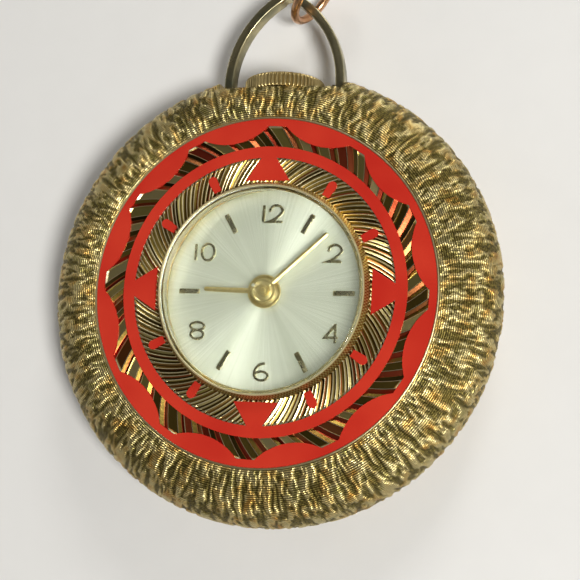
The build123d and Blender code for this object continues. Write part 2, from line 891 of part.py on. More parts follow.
# Winding stem: a round shaft with a groove, and a square inner end for the sliding pinion
stem_groove_middle = setting_lever_place[1] - crown_pull / 2
with BuildPart() as winding_stem:
    with BuildSketch(across_stem(winding_pinion_start)):
        Circle(stem_radius)
    extrude(amount=crown_low + crown_bore_depth - winding_pinion_start)
    with BuildSketch(across_stem(stem_groove_middle - sliding_groove_width / 2)) as groove:
        Circle(stem_radius)
        Circle(stem_groove_radius, mode=Mode.SUBTRACT)
    extrude(groove.sketch, amount=sliding_groove_width, mode=Mode.SUBTRACT)
    with BuildSketch(across_stem(stem_square_end)):
        Rectangle(stem_square, stem_square)
    extrude(amount=winding_pinion_start - stem_square_end)
finish(winding_stem, "winding_stem")

# Winding pinion, loose on the round part of the stem
with BuildPart() as winding_pinion:
    with BuildSketch(across_stem(winding_pinion_start + sliding_pinion_gap)):
        with Locations(Location((0, 0, 0), (0, 0, 90))):
            add(gear_face(winding_pinion_teeth, winding_pinion_module))
        Circle(stem_radius + stem_hole_clearance, mode=Mode.SUBTRACT)
    extrude(amount=winding_pinion_length - sliding_pinion_gap)
finish(winding_pinion, "winding_pinion")

# Sliding pinion: a grooved sleeve on the square of the stem
sliding_length = winding_pinion_start - sliding_pinion_start
groove_start = sliding_pinion_start + (sliding_length - sliding_groove_width) / 2
sliding_square = stem_square + 2 * stem_hole_clearance
with BuildPart() as sliding_pinion:
    with BuildSketch(across_stem(sliding_pinion_start)):
        add(gear_face(setting_end_teeth, 2 * sliding_pinion_radius / (setting_end_teeth + 2 * tip_share)))
    extrude(amount=groove_start - sliding_pinion_start)
    with BuildSketch(across_stem(groove_start)):
        Circle(sliding_groove_radius)
    extrude(amount=sliding_groove_width)
    with BuildSketch(across_stem(groove_start + sliding_groove_width)):
        Circle(sliding_pinion_radius)
    extrude(amount=winding_pinion_start - groove_start - sliding_groove_width)
    with BuildSketch(across_stem(sliding_pinion_start)):
        Rectangle(sliding_square, sliding_square)
    extrude(amount=sliding_length, mode=Mode.SUBTRACT)
finish(sliding_pinion, "sliding_pinion")

# Bow: two flat legs that rise beside the crown, lean in and meet in a small arch
bow_shoulder = notch_floor + bow_leg_straight
bow_leg_top = bow_shoulder + bow_leg_rise
with BuildPart() as bow:
    with BuildLine() as bow_path:
        Line((bow_foot_place, notch_floor), (bow_foot_place, bow_shoulder))
        arch_end = (bow_apex_half_width, bow_leg_top)
        right_arc = TangentArc((bow_foot_place, bow_shoulder), arch_end, tangent=(0, 1))
        ThreePointArc(arch_end, (0, bow_leg_top + bow_apex_rise), (-bow_apex_half_width, bow_leg_top))
        arch_end = (-bow_apex_half_width, bow_leg_top)
        TangentArc((-bow_foot_place, bow_shoulder), arch_end, tangent=(0, 1))
        Line((-bow_foot_place, bow_shoulder), (-bow_foot_place, notch_floor))
    with BuildSketch(Plane(origin=(0, 0, stem_height - bow_depth / 2))) as bow_face:
        trace(bow_path.edges(), line_width=bow_width)
    extrude(bow_face.sketch, amount=bow_depth)
finish(bow, "bow")

# Jump ring around the right leg of the bow, square to it, and the first link of the chain
leg_point = right_arc @ ring_leg_share
leg_run = right_arc % ring_leg_share
outwards = Vector(leg_run.Y, -leg_run.X, 0)
ring_center = Vector(leg_point.X, leg_point.Y, stem_height) + outwards * ring_shift
with BuildPart() as jump_ring:
    with BuildSketch(Plane(origin=ring_center, x_dir=outwards, z_dir=(0, 0, 1))):
        with Locations((ring_middle_radius, 0)):
            Circle(ring_wire_radius)
    revolve(axis=Axis(ring_center, leg_run))
finish(jump_ring, "jump_ring")

link_direction = outwards.rotate(Axis.Z, link_turn)
link_shift = link_middle_radius - ring_wire_radius - link_wire_radius - link_gap
link_center = ring_center + outwards * ring_middle_radius + link_direction * link_shift
with BuildPart() as chain_link:
    with BuildSketch(Plane(origin=link_center, x_dir=(1, 0, 0), z_dir=(0, -1, 0))):
        with Locations((link_middle_radius, 0)):
            Circle(link_wire_radius)
    revolve(axis=Axis(link_center, (0, 0, 1)))
finish(chain_link, "chain_link")

# Movement ring: a plastic spacer between the case bore and the movement
shoulder_radius = movement_radius - spacer_shoulder
with BuildPart() as movement_ring:
    with BuildSketch(level(center_place, snap_top)) as face:
        Circle(case_bore_radius - spacer_clearance)
        Circle(movement_radius + movement_clearance, mode=Mode.SUBTRACT)
    extrude(face.sketch, amount=flange_low - snap_top)
    with BuildSketch(level(center_place, plate_high)) as face:
        Circle(case_bore_radius - spacer_clearance)
        Circle(shoulder_radius, mode=Mode.SUBTRACT)
    extrude(face.sketch, amount=flange_low - plate_high)
    with BuildSketch(across_stem(shoulder_radius - overrun)) as bore:
        Circle(stem_radius + stem_hole_clearance)
    extrude(bore.sketch, amount=case_bore_radius - shoulder_radius + 2 * overrun, mode=Mode.SUBTRACT)
    for bearing in clamp_bearings:
        with BuildSketch(level(center_place, snap_top, bearing)) as pocket:
            with Locations((movement_radius + clamp_reach / 2, 0)):
                Rectangle(clamp_reach + 2 * clamp_side_gap, clamp_width + 2 * clamp_side_gap)
        extrude(pocket.sketch, amount=plate_low - snap_top, mode=Mode.SUBTRACT)
finish(movement_ring, "movement_ring")

# Main plate: bored for every arbor, pocketed for the motion work, open around the winding work
winding_slot_half = winding_pinion_module * (winding_pinion_teeth / 2 + tip_share) + 2 * stem_hole_clearance
slot_start = sliding_pinion_start - crown_pull - setting_gap / 2
slot_end = winding_pinion_start + winding_pinion_length + stem_hole_clearance
motion_tip = tip_share * motion_module
arbor_places = [barrel_place, third_place, fourth_place, escape_place, pallet_place, balance_place]
with BuildPart() as main_plate:
    round_bar(center_place, movement_radius, plate_low, plate_high)
    with BuildSketch(level((0, 0), stem_height - stem_block_depth)) as block:
        with Locations((0, (slot_end + movement_radius - stem_block_inset) / 2)):
            Rectangle(2 * stem_block_half, movement_radius - stem_block_inset - slot_end)
    extrude(block.sketch, amount=plate_low - stem_height + stem_block_depth)
    with BuildSketch(level((0, 0), plate_low)) as slot:
        with Locations((0, (slot_start + slot_end) / 2)):
            Rectangle(2 * winding_slot_half, slot_end - slot_start)
    extrude(slot.sketch, amount=plate_thickness, mode=Mode.SUBTRACT)
    with BuildSketch(level(center_place, pocket_floor)) as pocket:
        Circle(motion_module * cannon_teeth / 2 + motion_tip + setting_gap)
        with Locations(minute_wheel_place):
            Circle(motion_module * minute_teeth / 2 + motion_tip + setting_gap)
        with Locations(setting_place):
            Circle(setting_radius + setting_gap / 2)
    extrude(pocket.sketch, amount=pocket_depth, mode=Mode.SUBTRACT)
    for place in (minute_wheel_place, setting_place):
        round_bar(place, post_radius, pocket_floor, motion_low + motion_thickness)
    for place in (setting_lever_place, yoke_place):
        round_bar(place, post_radius, plate_high, upper_low + lever_thickness)
    round_bar(
        center_place, arbor_radius + pivot_clearance, plate_low, plate_high, mode=Mode.SUBTRACT
    )
    for place in arbor_places[1:]:
        pivot_hole(place, plate_low, plate_high)
    round_bar(
        barrel_place, barrel_pivot_radius + pivot_clearance, plate_low, plate_high, mode=Mode.SUBTRACT
    )
    for foot in dial_foot_places:
        round_bar(foot, dial_foot_radius + screw_clearance, plate_low, plate_high, mode=Mode.SUBTRACT)
    for place in bridge_foot_places + train_foot_places + [cock_foot_place] + clamp_screw_places:
        round_bar(place, screw_radius, plate_low, plate_high, mode=Mode.SUBTRACT)
    with BuildSketch(level((0, setting_lever_place[1]), stem_height)) as tongue_slot:
        Rectangle(2 * tongue_slot_half, crown_pull + 2 * tongue_slot_half)
    extrude(tongue_slot.sketch, amount=plate_high - stem_height, mode=Mode.SUBTRACT)
    with BuildSketch(across_stem(slot_end - overrun)) as bore:
        Circle(stem_radius + stem_hole_clearance)
    extrude(bore.sketch, amount=movement_radius + 2 * overrun - slot_end, mode=Mode.SUBTRACT)
finish(main_plate, "main_plate")


def bridge_feet(places):
    """Pillars from a bridge down to the main plate, drilled for their screws."""
    for place in places:
        round_bar(place, foot_radius, bridge_high, plate_low)
    for place in places:
        round_bar(place, screw_radius, bridge_low, plate_low, mode=Mode.SUBTRACT)
        round_bar(
            place,
            screw_head_radius + screw_clearance,
            bridge_low,
            bridge_low + screw_head_thickness,
            mode=Mode.SUBTRACT,
        )


# Barrel bridge: over the barrel and under the ratchet and crown wheels
click_place = polar(barrel_place, click_reach, click_bearing)
crown_recess_radius = contrate_outer_radius + winding_module
with BuildPart() as barrel_bridge:
    with BuildSketch(level(center_place, bridge_low)) as outline:
        Circle(bridge_edge)
        with BuildLine() as border:
            Polyline(
                barrel_bridge_corner,
                (train_bridge_side, -train_bridge_side),
                (train_bridge_side, train_bridge_side),
                (-barrel_bridge_reach, sliding_pinion_start),
                (-barrel_bridge_reach, 2 * bridge_edge),
                (2 * bridge_edge, 2 * bridge_edge),
                (2 * bridge_edge, barrel_bridge_corner[1]),
                close=True,
            )
        make_face(mode=Mode.INTERSECT)
    extrude(outline.sketch, amount=bridge_thickness)
    bridge_feet(bridge_foot_places)
    round_bar(
        barrel_place,
        barrel_pivot_radius + pivot_clearance,
        bridge_low,
        bridge_high,
        mode=Mode.SUBTRACT,
    )
    with BuildSketch(level(crown_wheel_place, bridge_low)) as recess:
        Circle(crown_recess_radius)
        Circle(contrate_inner_radius - winding_module, mode=Mode.SUBTRACT)
    extrude(recess.sketch, amount=crown_recess_depth, mode=Mode.SUBTRACT)
    bridge_slot_start = winding_pinion_start - stem_hole_clearance
    with BuildSketch(level(center_place, bridge_low)) as slot:
        with Locations((0, (bridge_slot_start + slot_end) / 2)):
            Rectangle(2 * winding_slot_half, slot_end - bridge_slot_start)
    extrude(slot.sketch, amount=bridge_thickness, mode=Mode.SUBTRACT)
    round_bar(crown_wheel_place, screw_radius, bridge_low, bridge_high, mode=Mode.SUBTRACT)
    round_bar(click_place, post_radius, wheel_low, bridge_low)
finish(barrel_bridge, "barrel_bridge")

# Train bridge: a bar from foot to foot over the centre, third, fourth and escape wheels
with BuildPart() as train_bridge:
    with BuildSketch(level(center_place, bridge_low)) as outline:
        with BuildLine() as spine:
            Polyline(train_foot_places[0], third_place, fourth_place, train_foot_places[1])
        trace(spine.edges(), line_width=2 * bridge_margin)
        with BuildLine() as branch:
            Line(center_place, third_place)
        trace(branch.edges(), line_width=2 * bridge_margin)
        with BuildLine() as escape_branch:
            Line(fourth_place, escape_place)
        trace(escape_branch.edges(), line_width=2 * bridge_margin)
        with Locations(center_place, third_place, fourth_place, escape_place, *train_foot_places):
            Circle(bridge_margin)
        Circle(bridge_edge, mode=Mode.INTERSECT)
    extrude(outline.sketch, amount=bridge_thickness)
    bridge_feet(train_foot_places)
    for place in (third_place, fourth_place, escape_place):
        pivot_hole(place, bridge_low, bridge_high)
    pivot_hole(center_place, bridge_low, bridge_high)
finish(train_bridge, "train_bridge")

# Balance cock: a single arm over the balance
with BuildPart() as balance_cock:
    with BuildSketch(level(center_place, bridge_low)) as outline:
        with BuildLine() as arm:
            Line(cock_foot_place, balance_place)
        trace(arm.edges(), line_width=2 * bridge_margin)
        with Locations(cock_foot_place, balance_place):
            Circle(bridge_margin)
    extrude(outline.sketch, amount=bridge_thickness)
    bridge_feet([cock_foot_place])
    round_bar(balance_place, regulator_boss_radius, regulator_low, bridge_low)
    pivot_hole(balance_place, regulator_low, bridge_high)
finish(balance_cock, "balance_cock")

# Pallet bridge: a small plate on two feet over the pallet fork
across_fork = escape_to_balance + 90
pallet_feet = [
    polar(polar(pallet_place, side * pallet_bridge_half, across_fork), shift, escape_to_balance)
    for side, shift in ((1, 0.0), (-1, pallet_bridge_shift))
]
with BuildPart() as pallet_bridge:
    with BuildSketch(level(center_place, pallet_bridge_low)) as outline:
        with BuildLine() as bar:
            Line(pallet_feet[0], pallet_feet[1])
        trace(bar.edges(), line_width=pallet_bridge_width)
        with Locations(*pallet_feet):
            Circle(pallet_bridge_width / 2)
        with Locations(pallet_place):
            Circle(pallet_bridge_width / 2)
    extrude(outline.sketch, amount=pallet_bridge_thickness)
    for place in pallet_feet:
        round_bar(place, pallet_bridge_width / 2, pallet_bridge_low, plate_low)
    pivot_hole(pallet_place, pallet_bridge_low, pallet_bridge_low + pallet_bridge_thickness)
finish(pallet_bridge, "pallet_bridge")


def slotted_screw(place, low, length, head_radius, shank_radius, turn=0.0):
    """A screw whose slotted head is at the back and whose shank points to the dial."""
    round_bar(place, head_radius, low, low + screw_head_thickness)
    round_bar(place, shank_radius, low + screw_head_thickness, low + length)
    with BuildSketch(level(place, low, turn)) as slot:
        Rectangle(2 * head_radius, screw_slot_width)
    extrude(slot.sketch, amount=screw_slot_depth, mode=Mode.SUBTRACT)


# Bridge screws: one through each foot into the main plate
with BuildPart() as bridge_screws:
    for turn, place in enumerate(bridge_foot_places + train_foot_places + [cock_foot_place]):
        slotted_screw(
            place,
            bridge_low,
            plate_high - pocket_depth - bridge_low,
            screw_head_radius,
            screw_radius - screw_clearance,
            turn * screw_turn_step,
        )
finish(bridge_screws, "bridge_screws")

# Barrel: a toothed drum open to the plate side, with its cover, arbor and spring
drum_low = bridge_high + barrel_start
drum_high = plate_low - barrel_gap
cover_low = drum_high - barrel_cover_thickness
drum_bore = barrel_module * (barrel_teeth / 2 - root_share) - barrel_wall
barrel_turn = bearing_of(barrel_place, center_place)
with BuildPart() as barrel_drum:
    with BuildSketch(level(barrel_place, drum_low, barrel_turn)) as face:
        add(gear_face(barrel_teeth, barrel_module, pointed=True))
    extrude(face.sketch, amount=drum_high - drum_low)
    round_bar(barrel_place, drum_bore, drum_low + barrel_floor, drum_high, mode=Mode.SUBTRACT)
    round_bar(
        barrel_place, barrel_pivot_radius + pivot_clearance, drum_low, drum_high, mode=Mode.SUBTRACT
    )
finish(barrel_drum, "barrel_drum")

with BuildPart() as barrel_cover:
    round_bar(barrel_place, drum_bore, cover_low, drum_high)
    round_bar(
        barrel_place, barrel_pivot_radius + pivot_clearance, cover_low, drum_high, mode=Mode.SUBTRACT
    )
finish(barrel_cover, "barrel_cover")

with BuildPart() as barrel_arbor:
    round_bar(barrel_place, barrel_pivot_radius, wheel_high, plate_high - pocket_depth)
    round_bar(
        barrel_place,
        barrel_arbor_radius,
        drum_low + barrel_floor + mainspring_gap,
        cover_low - mainspring_gap,
    )
    round_bar(barrel_place, screw_radius, wheel_low, wheel_high + wheel_lift, mode=Mode.SUBTRACT)
finish(barrel_arbor, "barrel_arbor")


def spiral_strip(place, low, thickness, inner_radius, outer_radius, turns, strip):
    """A flat spring: half circles whose radius grows evenly, given a width and a thickness."""
    step = (outer_radius - inner_radius) / (2 * turns)
    with BuildSketch(level(place, low)) as face:
        with BuildLine() as path:
            start = inner_radius
            for half in range(2 * turns):
                side = 1 if half % 2 == 0 else -1
                end = start + step
                middle_x = side * (start - end) / 2
                reach = (start + end) / 2
                ThreePointArc((side * start, 0), (middle_x, side * reach), (-side * end, 0))
                start = end
        trace(path.edges(), line_width=strip)
    extrude(face.sketch, amount=thickness)


with BuildPart() as mainspring:
    spiral_strip(
        barrel_place,
        drum_low + barrel_floor + mainspring_gap,
        cover_low - drum_low - barrel_floor - 2 * mainspring_gap,
        barrel_arbor_radius + mainspring_strip,
        drum_bore - mainspring_strip,
        mainspring_turns,
        mainspring_strip,
    )
finish(mainspring, "mainspring")

# Ratchet wheel and crown wheel on the back of the barrel bridge
ratchet_turn = bearing_of(barrel_place, crown_wheel_place)
crown_wheel_turn = ratchet_turn + 180 + 180 / crown_wheel_teeth
with BuildPart() as ratchet_wheel:
    with BuildSketch(level(barrel_place, wheel_low, ratchet_turn)) as face:
        add(gear_face(ratchet_teeth, winding_module))
        Circle(screw_radius, mode=Mode.SUBTRACT)
    extrude(face.sketch, amount=winding_wheel_thickness)
finish(ratchet_wheel, "ratchet_wheel")

with BuildPart() as ratchet_screw:
    slotted_screw(
        barrel_place,
        wheel_low - screw_head_thickness,
        winding_wheel_thickness + wheel_lift + screw_head_thickness,
        barrel_arbor_radius,
        screw_radius - screw_clearance,
    )
finish(ratchet_screw, "ratchet_screw")

contrate_low = wheel_high + contrate_ring_height
with BuildPart() as crown_wheel:
    with BuildSketch(level(crown_wheel_place, wheel_low, crown_wheel_turn)) as face:
        add(gear_face(crown_wheel_teeth, winding_module))
    extrude(face.sketch, amount=winding_wheel_thickness)
    with BuildSketch(level(crown_wheel_place, wheel_high)) as face:
        Circle(contrate_outer_radius)
        Circle(contrate_inner_radius, mode=Mode.SUBTRACT)
    extrude(face.sketch, amount=contrate_ring_height)
    with BuildSketch(level(crown_wheel_place, contrate_low, 90)) as face:
        tooth_width = contrate_tooth_share * 2 * math.pi * contrate_inner_radius / contrate_teeth
        with PolarLocations(contrate_middle_radius, contrate_teeth, start_angle=180 / contrate_teeth):
            Rectangle(contrate_outer_radius - contrate_inner_radius, tooth_width)
    extrude(face.sketch, amount=contrate_tooth_height)
    round_bar(
        crown_wheel_place,
        crown_core_radius + pivot_clearance,
        wheel_low,
        contrate_low,
        mode=Mode.SUBTRACT,
    )
finish(crown_wheel, "crown_wheel")

with BuildPart() as crown_wheel_screw:
    slotted_screw(
        crown_wheel_place,
        wheel_low - pivot_clearance - screw_head_thickness,
        bridge_thickness + wheel_lift + winding_wheel_thickness + screw_head_thickness,
        crown_core_radius + screw_radius,
        screw_radius - screw_clearance,
    )
    round_bar(crown_wheel_place, crown_core_radius, wheel_low - pivot_clearance, bridge_low)
finish(crown_wheel_screw, "crown_wheel_screw")

# Click with its beak in the ratchet teeth, and its spring
ratchet_tip = winding_module * (ratchet_teeth / 2 + tip_share)
with BuildPart() as click:
    with BuildSketch(level(click_place, wheel_low, click_bearing + 90)) as face:
        Circle(click_radius)
        with BuildLine():
            beak_in = click_reach - math.sqrt((ratchet_tip + click_clearance) ** 2 - click_beak**2)
            Polyline(
                (0, -click_radius),
                (click_beak, beak_in),
                (click_beak - click_radius / 2, beak_in + click_beak_width),
                (0, click_radius),
                close=True,
            )
        make_face()
        Circle(post_radius + pivot_clearance, mode=Mode.SUBTRACT)
    extrude(face.sketch, amount=winding_wheel_thickness)
finish(click, "click")

# Click spring: a thin blade from a foot on the barrel bridge to the click
click_spring_tip = polar(
    click_place, click_radius + click_spring_width / 2 + click_clearance, click_spring_bearing
)
click_spring_foot = polar(click_place, click_spring_foot_reach, click_spring_foot_bearing)


def blade_spring(foot, tip, low, width, thickness):
    """A straight blade spring on a round foot."""
    with BuildSketch(level((0, 0), low)) as face:
        with BuildLine() as blade:
            Line(foot, tip)
        trace(blade.edges(), line_width=width)
        with Locations(foot):
            Circle(spring_foot_radius)
    extrude(face.sketch, amount=thickness)


with BuildPart() as click_spring:
    blade_spring(
        click_spring_foot, click_spring_tip, wheel_low, click_spring_width, bridge_low - wheel_low
    )
finish(click_spring, "click_spring")

# Movement clamps, each hooked over the movement ring and screwed to the main plate
clamp_low = plate_low - clamp_thickness
with BuildPart() as casing_clamps:
    for bearing in clamp_bearings:
        with BuildSketch(level(center_place, clamp_low, bearing)) as face:
            with Locations((clamp_place_radius - clamp_inner_reach, 0)):
                Rectangle(
                    movement_radius + clamp_reach - clamp_place_radius + clamp_inner_reach,
                    clamp_width,
                    align=(Align.MIN, Align.CENTER),
                )
            with Locations((clamp_place_radius, 0)):
                Circle(screw_radius, mode=Mode.SUBTRACT)
        extrude(face.sketch, amount=clamp_thickness)
finish(casing_clamps, "casing_clamps")

with BuildPart() as clamp_screws:
    for turn, place in enumerate(clamp_screw_places):
        slotted_screw(
            place,
            clamp_low - screw_head_thickness,
            screw_head_thickness + clamp_thickness + pivot_depth,
            clamp_head_radius,
            screw_radius - screw_clearance,
            turn * screw_turn_step,
        )
finish(clamp_screws, "clamp_screws")


def arbor(place, low, high, leaf_low, leaf_high, teeth, module, turn):
    """An arbor with a pivot at each end and pinion leaves between two heights."""
    round_bar(place, pivot_radius, low - pivot_depth, high + pivot_depth)
    for start, end in ((low, leaf_low), (leaf_high, high)):
        if end > start:
            round_bar(place, train_arbor_radius, start, end)
    with BuildSketch(level(place, leaf_low, turn)) as face:
        add(gear_face(teeth, module))
    extrude(face.sketch, amount=leaf_high - leaf_low)


# Centre wheel and its pinion, whose long arbor carries the cannon pinion
train_low = bridge_high + pivot_clearance
train_high = plate_low - pivot_clearance
center_turn = bearing_of(center_place, third_place)
with BuildPart() as center_wheel:
    wheel_with_spokes(
        center_place,
        center_wheel_height,
        wheel_thickness,
        center_teeth,
        center_module,
        center_turn,
        wheel_spokes,
        arbor_radius,
    )
finish(center_wheel, "center_wheel")

center_pinion_turn = bearing_of(center_place, barrel_place) + 180 / center_pinion_teeth
with BuildPart() as center_pinion:
    round_bar(center_place, pivot_radius, train_low - pivot_depth, train_low)
    round_bar(center_place, arbor_radius, train_low, minute_hand_height)
    with BuildSketch(level(center_place, drum_low, center_pinion_turn)) as face:
        add(gear_face(center_pinion_teeth, barrel_module))
    extrude(face.sketch, amount=drum_high - drum_low)
finish(center_pinion, "center_pinion")

# Third, fourth and escape wheels with their pinions
third_wheel_turn = bearing_of(third_place, fourth_place)
with BuildPart() as third_wheel:
    wheel_with_spokes(
        third_place,
        third_wheel_height,
        wheel_thickness,
        third_teeth,
        third_module,
        third_wheel_turn,
        wheel_spokes,
        train_arbor_radius,
    )
finish(third_wheel, "third_wheel")

with BuildPart() as third_pinion:
    arbor(
        third_place,
        train_low,
        train_high,
        center_wheel_height - leaf_margin,
        center_wheel_height + wheel_thickness + leaf_margin,
        third_pinion_teeth,
        center_module,
        center_turn + 180 + 180 / third_pinion_teeth,
    )
finish(third_pinion, "third_pinion")

fourth_wheel_turn = bearing_of(fourth_place, escape_place)
with BuildPart() as fourth_wheel:
    wheel_with_spokes(
        fourth_place,
        fourth_wheel_height,
        wheel_thickness,
        fourth_teeth,
        fourth_module,
        fourth_wheel_turn,
        wheel_spokes,
        train_arbor_radius,
    )
finish(fourth_wheel, "fourth_wheel")

with BuildPart() as fourth_pinion:
    arbor(
        fourth_place,
        train_low,
        train_high,
        third_wheel_height - leaf_margin,
        third_wheel_height + wheel_thickness + leaf_margin,
        fourth_pinion_teeth,
        third_module,
        third_wheel_turn + 180 + 180 / fourth_pinion_teeth,
    )
finish(fourth_pinion, "fourth_pinion")

with BuildPart() as escape_wheel:
    with BuildSketch(level(escape_place, escape_wheel_height)) as face:
        with BuildLine():
            escape_points = []
            for tooth in range(escape_teeth):
                heel = tooth * 360 / escape_teeth
                lean = heel + escape_tooth_lean * 360 / escape_teeth
                escape_points.append(polar((0, 0), escape_root_radius, heel))
                escape_points.append(polar((0, 0), escape_radius, lean))
            Polyline(*escape_points, close=True)
        make_face()
        Circle(escape_inner_radius, mode=Mode.SUBTRACT)
        Circle(escape_hub_radius)
        with PolarLocations(0, escape_spokes):
            Rectangle(
                (escape_inner_radius + escape_root_radius) / 2,
                spoke_width / 2,
                align=(Align.MIN, Align.CENTER),
            )
        Circle(train_arbor_radius, mode=Mode.SUBTRACT)
    extrude(face.sketch, amount=pallet_thickness)
finish(escape_wheel, "escape_wheel")

with BuildPart() as escape_pinion:
    arbor(
        escape_place,
        train_low,
        train_high,
        fourth_wheel_height - leaf_margin,
        fourth_wheel_height + wheel_thickness + leaf_margin,
        escape_pinion_teeth,
        fourth_module,
        fourth_wheel_turn + 180 + 180 / escape_pinion_teeth,
    )
finish(escape_pinion, "escape_pinion")

# Pallet fork: two pallet arms beside the escape wheel and a lever to the balance
fork_end = distance_of(pallet_place, balance_place) - pallet_fork_gap
with BuildPart() as pallet_fork:
    with BuildSketch(level(pallet_place, escape_wheel_height, escape_to_balance)) as face:
        with Locations((fork_end, 0)):
            Rectangle(pallet_fork_length, pallet_fork_width, align=(Align.MAX, Align.CENTER))
        Rectangle(fork_end - pallet_fork_length / 2, pallet_arm_width, align=(Align.MIN, Align.CENTER))
        with Locations((fork_end, 0)):
            Rectangle(
                pallet_notch_depth,
                pallet_notch_width,
                align=(Align.MAX, Align.CENTER),
                mode=Mode.SUBTRACT,
            )
        for side in (1, -1):
            stone = polar((-pallet_reach, 0), pallet_stone_reach, side * pallet_stone_bearing)
            with BuildLine() as arm:
                Line((0, 0), stone)
            trace(arm.edges(), line_width=pallet_arm_width)
            with Locations(stone):
                Rectangle(pallet_stone_side, pallet_stone_side)
        Circle(escape_hub_radius)
        Circle(train_arbor_radius, mode=Mode.SUBTRACT)
    extrude(face.sketch, amount=pallet_thickness)
finish(pallet_fork, "pallet_fork")

pallet_arbor_low = pallet_bridge_low + pallet_bridge_thickness + pivot_clearance
with BuildPart() as pallet_arbor:
    round_bar(pallet_place, pivot_radius, pallet_bridge_low, pallet_arbor_low)
    round_bar(pallet_place, train_arbor_radius, pallet_arbor_low, train_high)
    round_bar(pallet_place, pivot_radius, train_high, train_high + pivot_depth)
finish(pallet_arbor, "pallet_arbor")

# Balance: a rim on two arms, its staff with roller and impulse pin, its hairspring and regulator
with BuildPart() as balance_wheel:
    with BuildSketch(level(balance_place, balance_height, escape_to_balance)) as face:
        Circle(balance_radius)
        Circle(balance_radius - balance_rim, mode=Mode.SUBTRACT)
        Rectangle(2 * balance_radius - balance_rim, balance_arm_width)
        Circle(wheel_hub_radius)
        Circle(staff_radius, mode=Mode.SUBTRACT)
    extrude(face.sketch, amount=balance_thickness)
finish(balance_wheel, "balance_wheel")

impulse_pin = polar(balance_place, impulse_pin_place, escape_to_balance + 180)
with BuildPart() as balance_staff:
    round_bar(balance_place, pivot_radius, train_low - pivot_depth, train_low)
    round_bar(balance_place, staff_radius, train_low, train_high)
    round_bar(balance_place, pivot_radius, train_high, train_high + pivot_depth)
    round_bar(balance_place, roller_radius, pallet_bridge_low, pallet_bridge_low + roller_thickness)
    round_bar(
        impulse_pin,
        impulse_pin_radius,
        pallet_bridge_low + roller_thickness,
        escape_wheel_height + pallet_thickness,
    )
finish(balance_staff, "balance_staff")

with BuildPart() as hairspring:
    spiral_strip(
        balance_place,
        hairspring_height,
        hairspring_thickness,
        hairspring_inner_radius,
        hairspring_outer_radius,
        hairspring_turns,
        hairspring_strip,
    )
    round_bar(
        balance_place,
        hairspring_inner_radius,
        hairspring_height,
        hairspring_height + hairspring_thickness,
    )
    round_bar(
        balance_place,
        staff_radius,
        hairspring_height,
        hairspring_height + hairspring_thickness,
        mode=Mode.SUBTRACT,
    )
finish(hairspring, "hairspring")

with BuildPart() as regulator:
    with BuildSketch(level(balance_place, regulator_low, regulator_bearing)) as face:
        Rectangle(regulator_length, regulator_width, align=(Align.MIN, Align.CENTER))
        Circle(regulator_ring_radius)
        Circle(regulator_boss_radius + pivot_clearance, mode=Mode.SUBTRACT)
    extrude(face.sketch, amount=regulator_thickness)
finish(regulator, "regulator")

# Motion work: cannon pinion, minute wheel with its pinion, hour wheel with its pipe
to_minute_wheel = bearing_of(center_place, minute_wheel_place)
with BuildPart() as cannon_pinion:
    pinion_leaves(
        center_place, motion_low, motion_low + motion_thickness, cannon_teeth, motion_module, to_minute_wheel
    )
    round_bar(
        center_place,
        cannon_pipe_radius,
        motion_low + motion_thickness,
        minute_hand_height + hand_boss_thickness,
    )
    round_bar(
        center_place,
        arbor_radius + cannon_bore_clearance,
        motion_low,
        minute_hand_height,
        mode=Mode.SUBTRACT,
    )
finish(cannon_pinion, "cannon_pinion")

minute_pinion_top = upper_low + motion_thickness
with BuildPart() as minute_wheel:
    minute_turn = to_minute_wheel + 180 + 180 / minute_teeth
    with BuildSketch(level(minute_wheel_place, motion_low, minute_turn)) as face:
        add(gear_face(minute_teeth, motion_module, pointed=True))
    extrude(face.sketch, amount=motion_thickness)
    pinion_leaves(
        minute_wheel_place,
        motion_low + motion_thickness,
        minute_pinion_top,
        minute_pinion_teeth,
        motion_upper_module,
        to_minute_wheel + 180,
    )
    round_bar(
        minute_wheel_place,
        post_radius + post_clearance,
        motion_low,
        minute_pinion_top,
        mode=Mode.SUBTRACT,
    )
finish(minute_wheel, "minute_wheel")

hour_wheel_turn = to_minute_wheel + 180 / hour_teeth
with BuildPart() as hour_wheel:
    with BuildSketch(level(center_place, upper_low, hour_wheel_turn)) as face:
        add(gear_face(hour_teeth, motion_upper_module, pointed=True))
    extrude(face.sketch, amount=motion_thickness)
    round_bar(
        center_place,
        hour_pipe_radius,
        upper_low + motion_thickness,
        hour_hand_height + hand_boss_thickness,
    )
    round_bar(
        center_place,
        cannon_pipe_radius + hour_bore_clearance,
        upper_low,
        hour_hand_height + hand_boss_thickness,
        mode=Mode.SUBTRACT,
    )
finish(hour_wheel, "hour_wheel")

# Setting wheel between the sliding pinion and the minute wheel
minute_tooth_pitch = 360 / minute_teeth
minute_to_setting = bearing_of(minute_wheel_place, setting_place)
minute_phase = (minute_to_setting - to_minute_wheel - 180 - 180 / minute_teeth) / minute_tooth_pitch
setting_turn = minute_to_setting + 180 + (minute_phase % 1 + 1 / 2) * 360 / setting_teeth
with BuildPart() as setting_wheel:
    with BuildSketch(level(setting_place, motion_low, setting_turn)) as face:
        add(gear_face(setting_teeth, motion_module, pointed=True))
        Circle(post_radius + post_clearance, mode=Mode.SUBTRACT)
    extrude(face.sketch, amount=motion_thickness)
finish(setting_wheel, "setting_wheel")


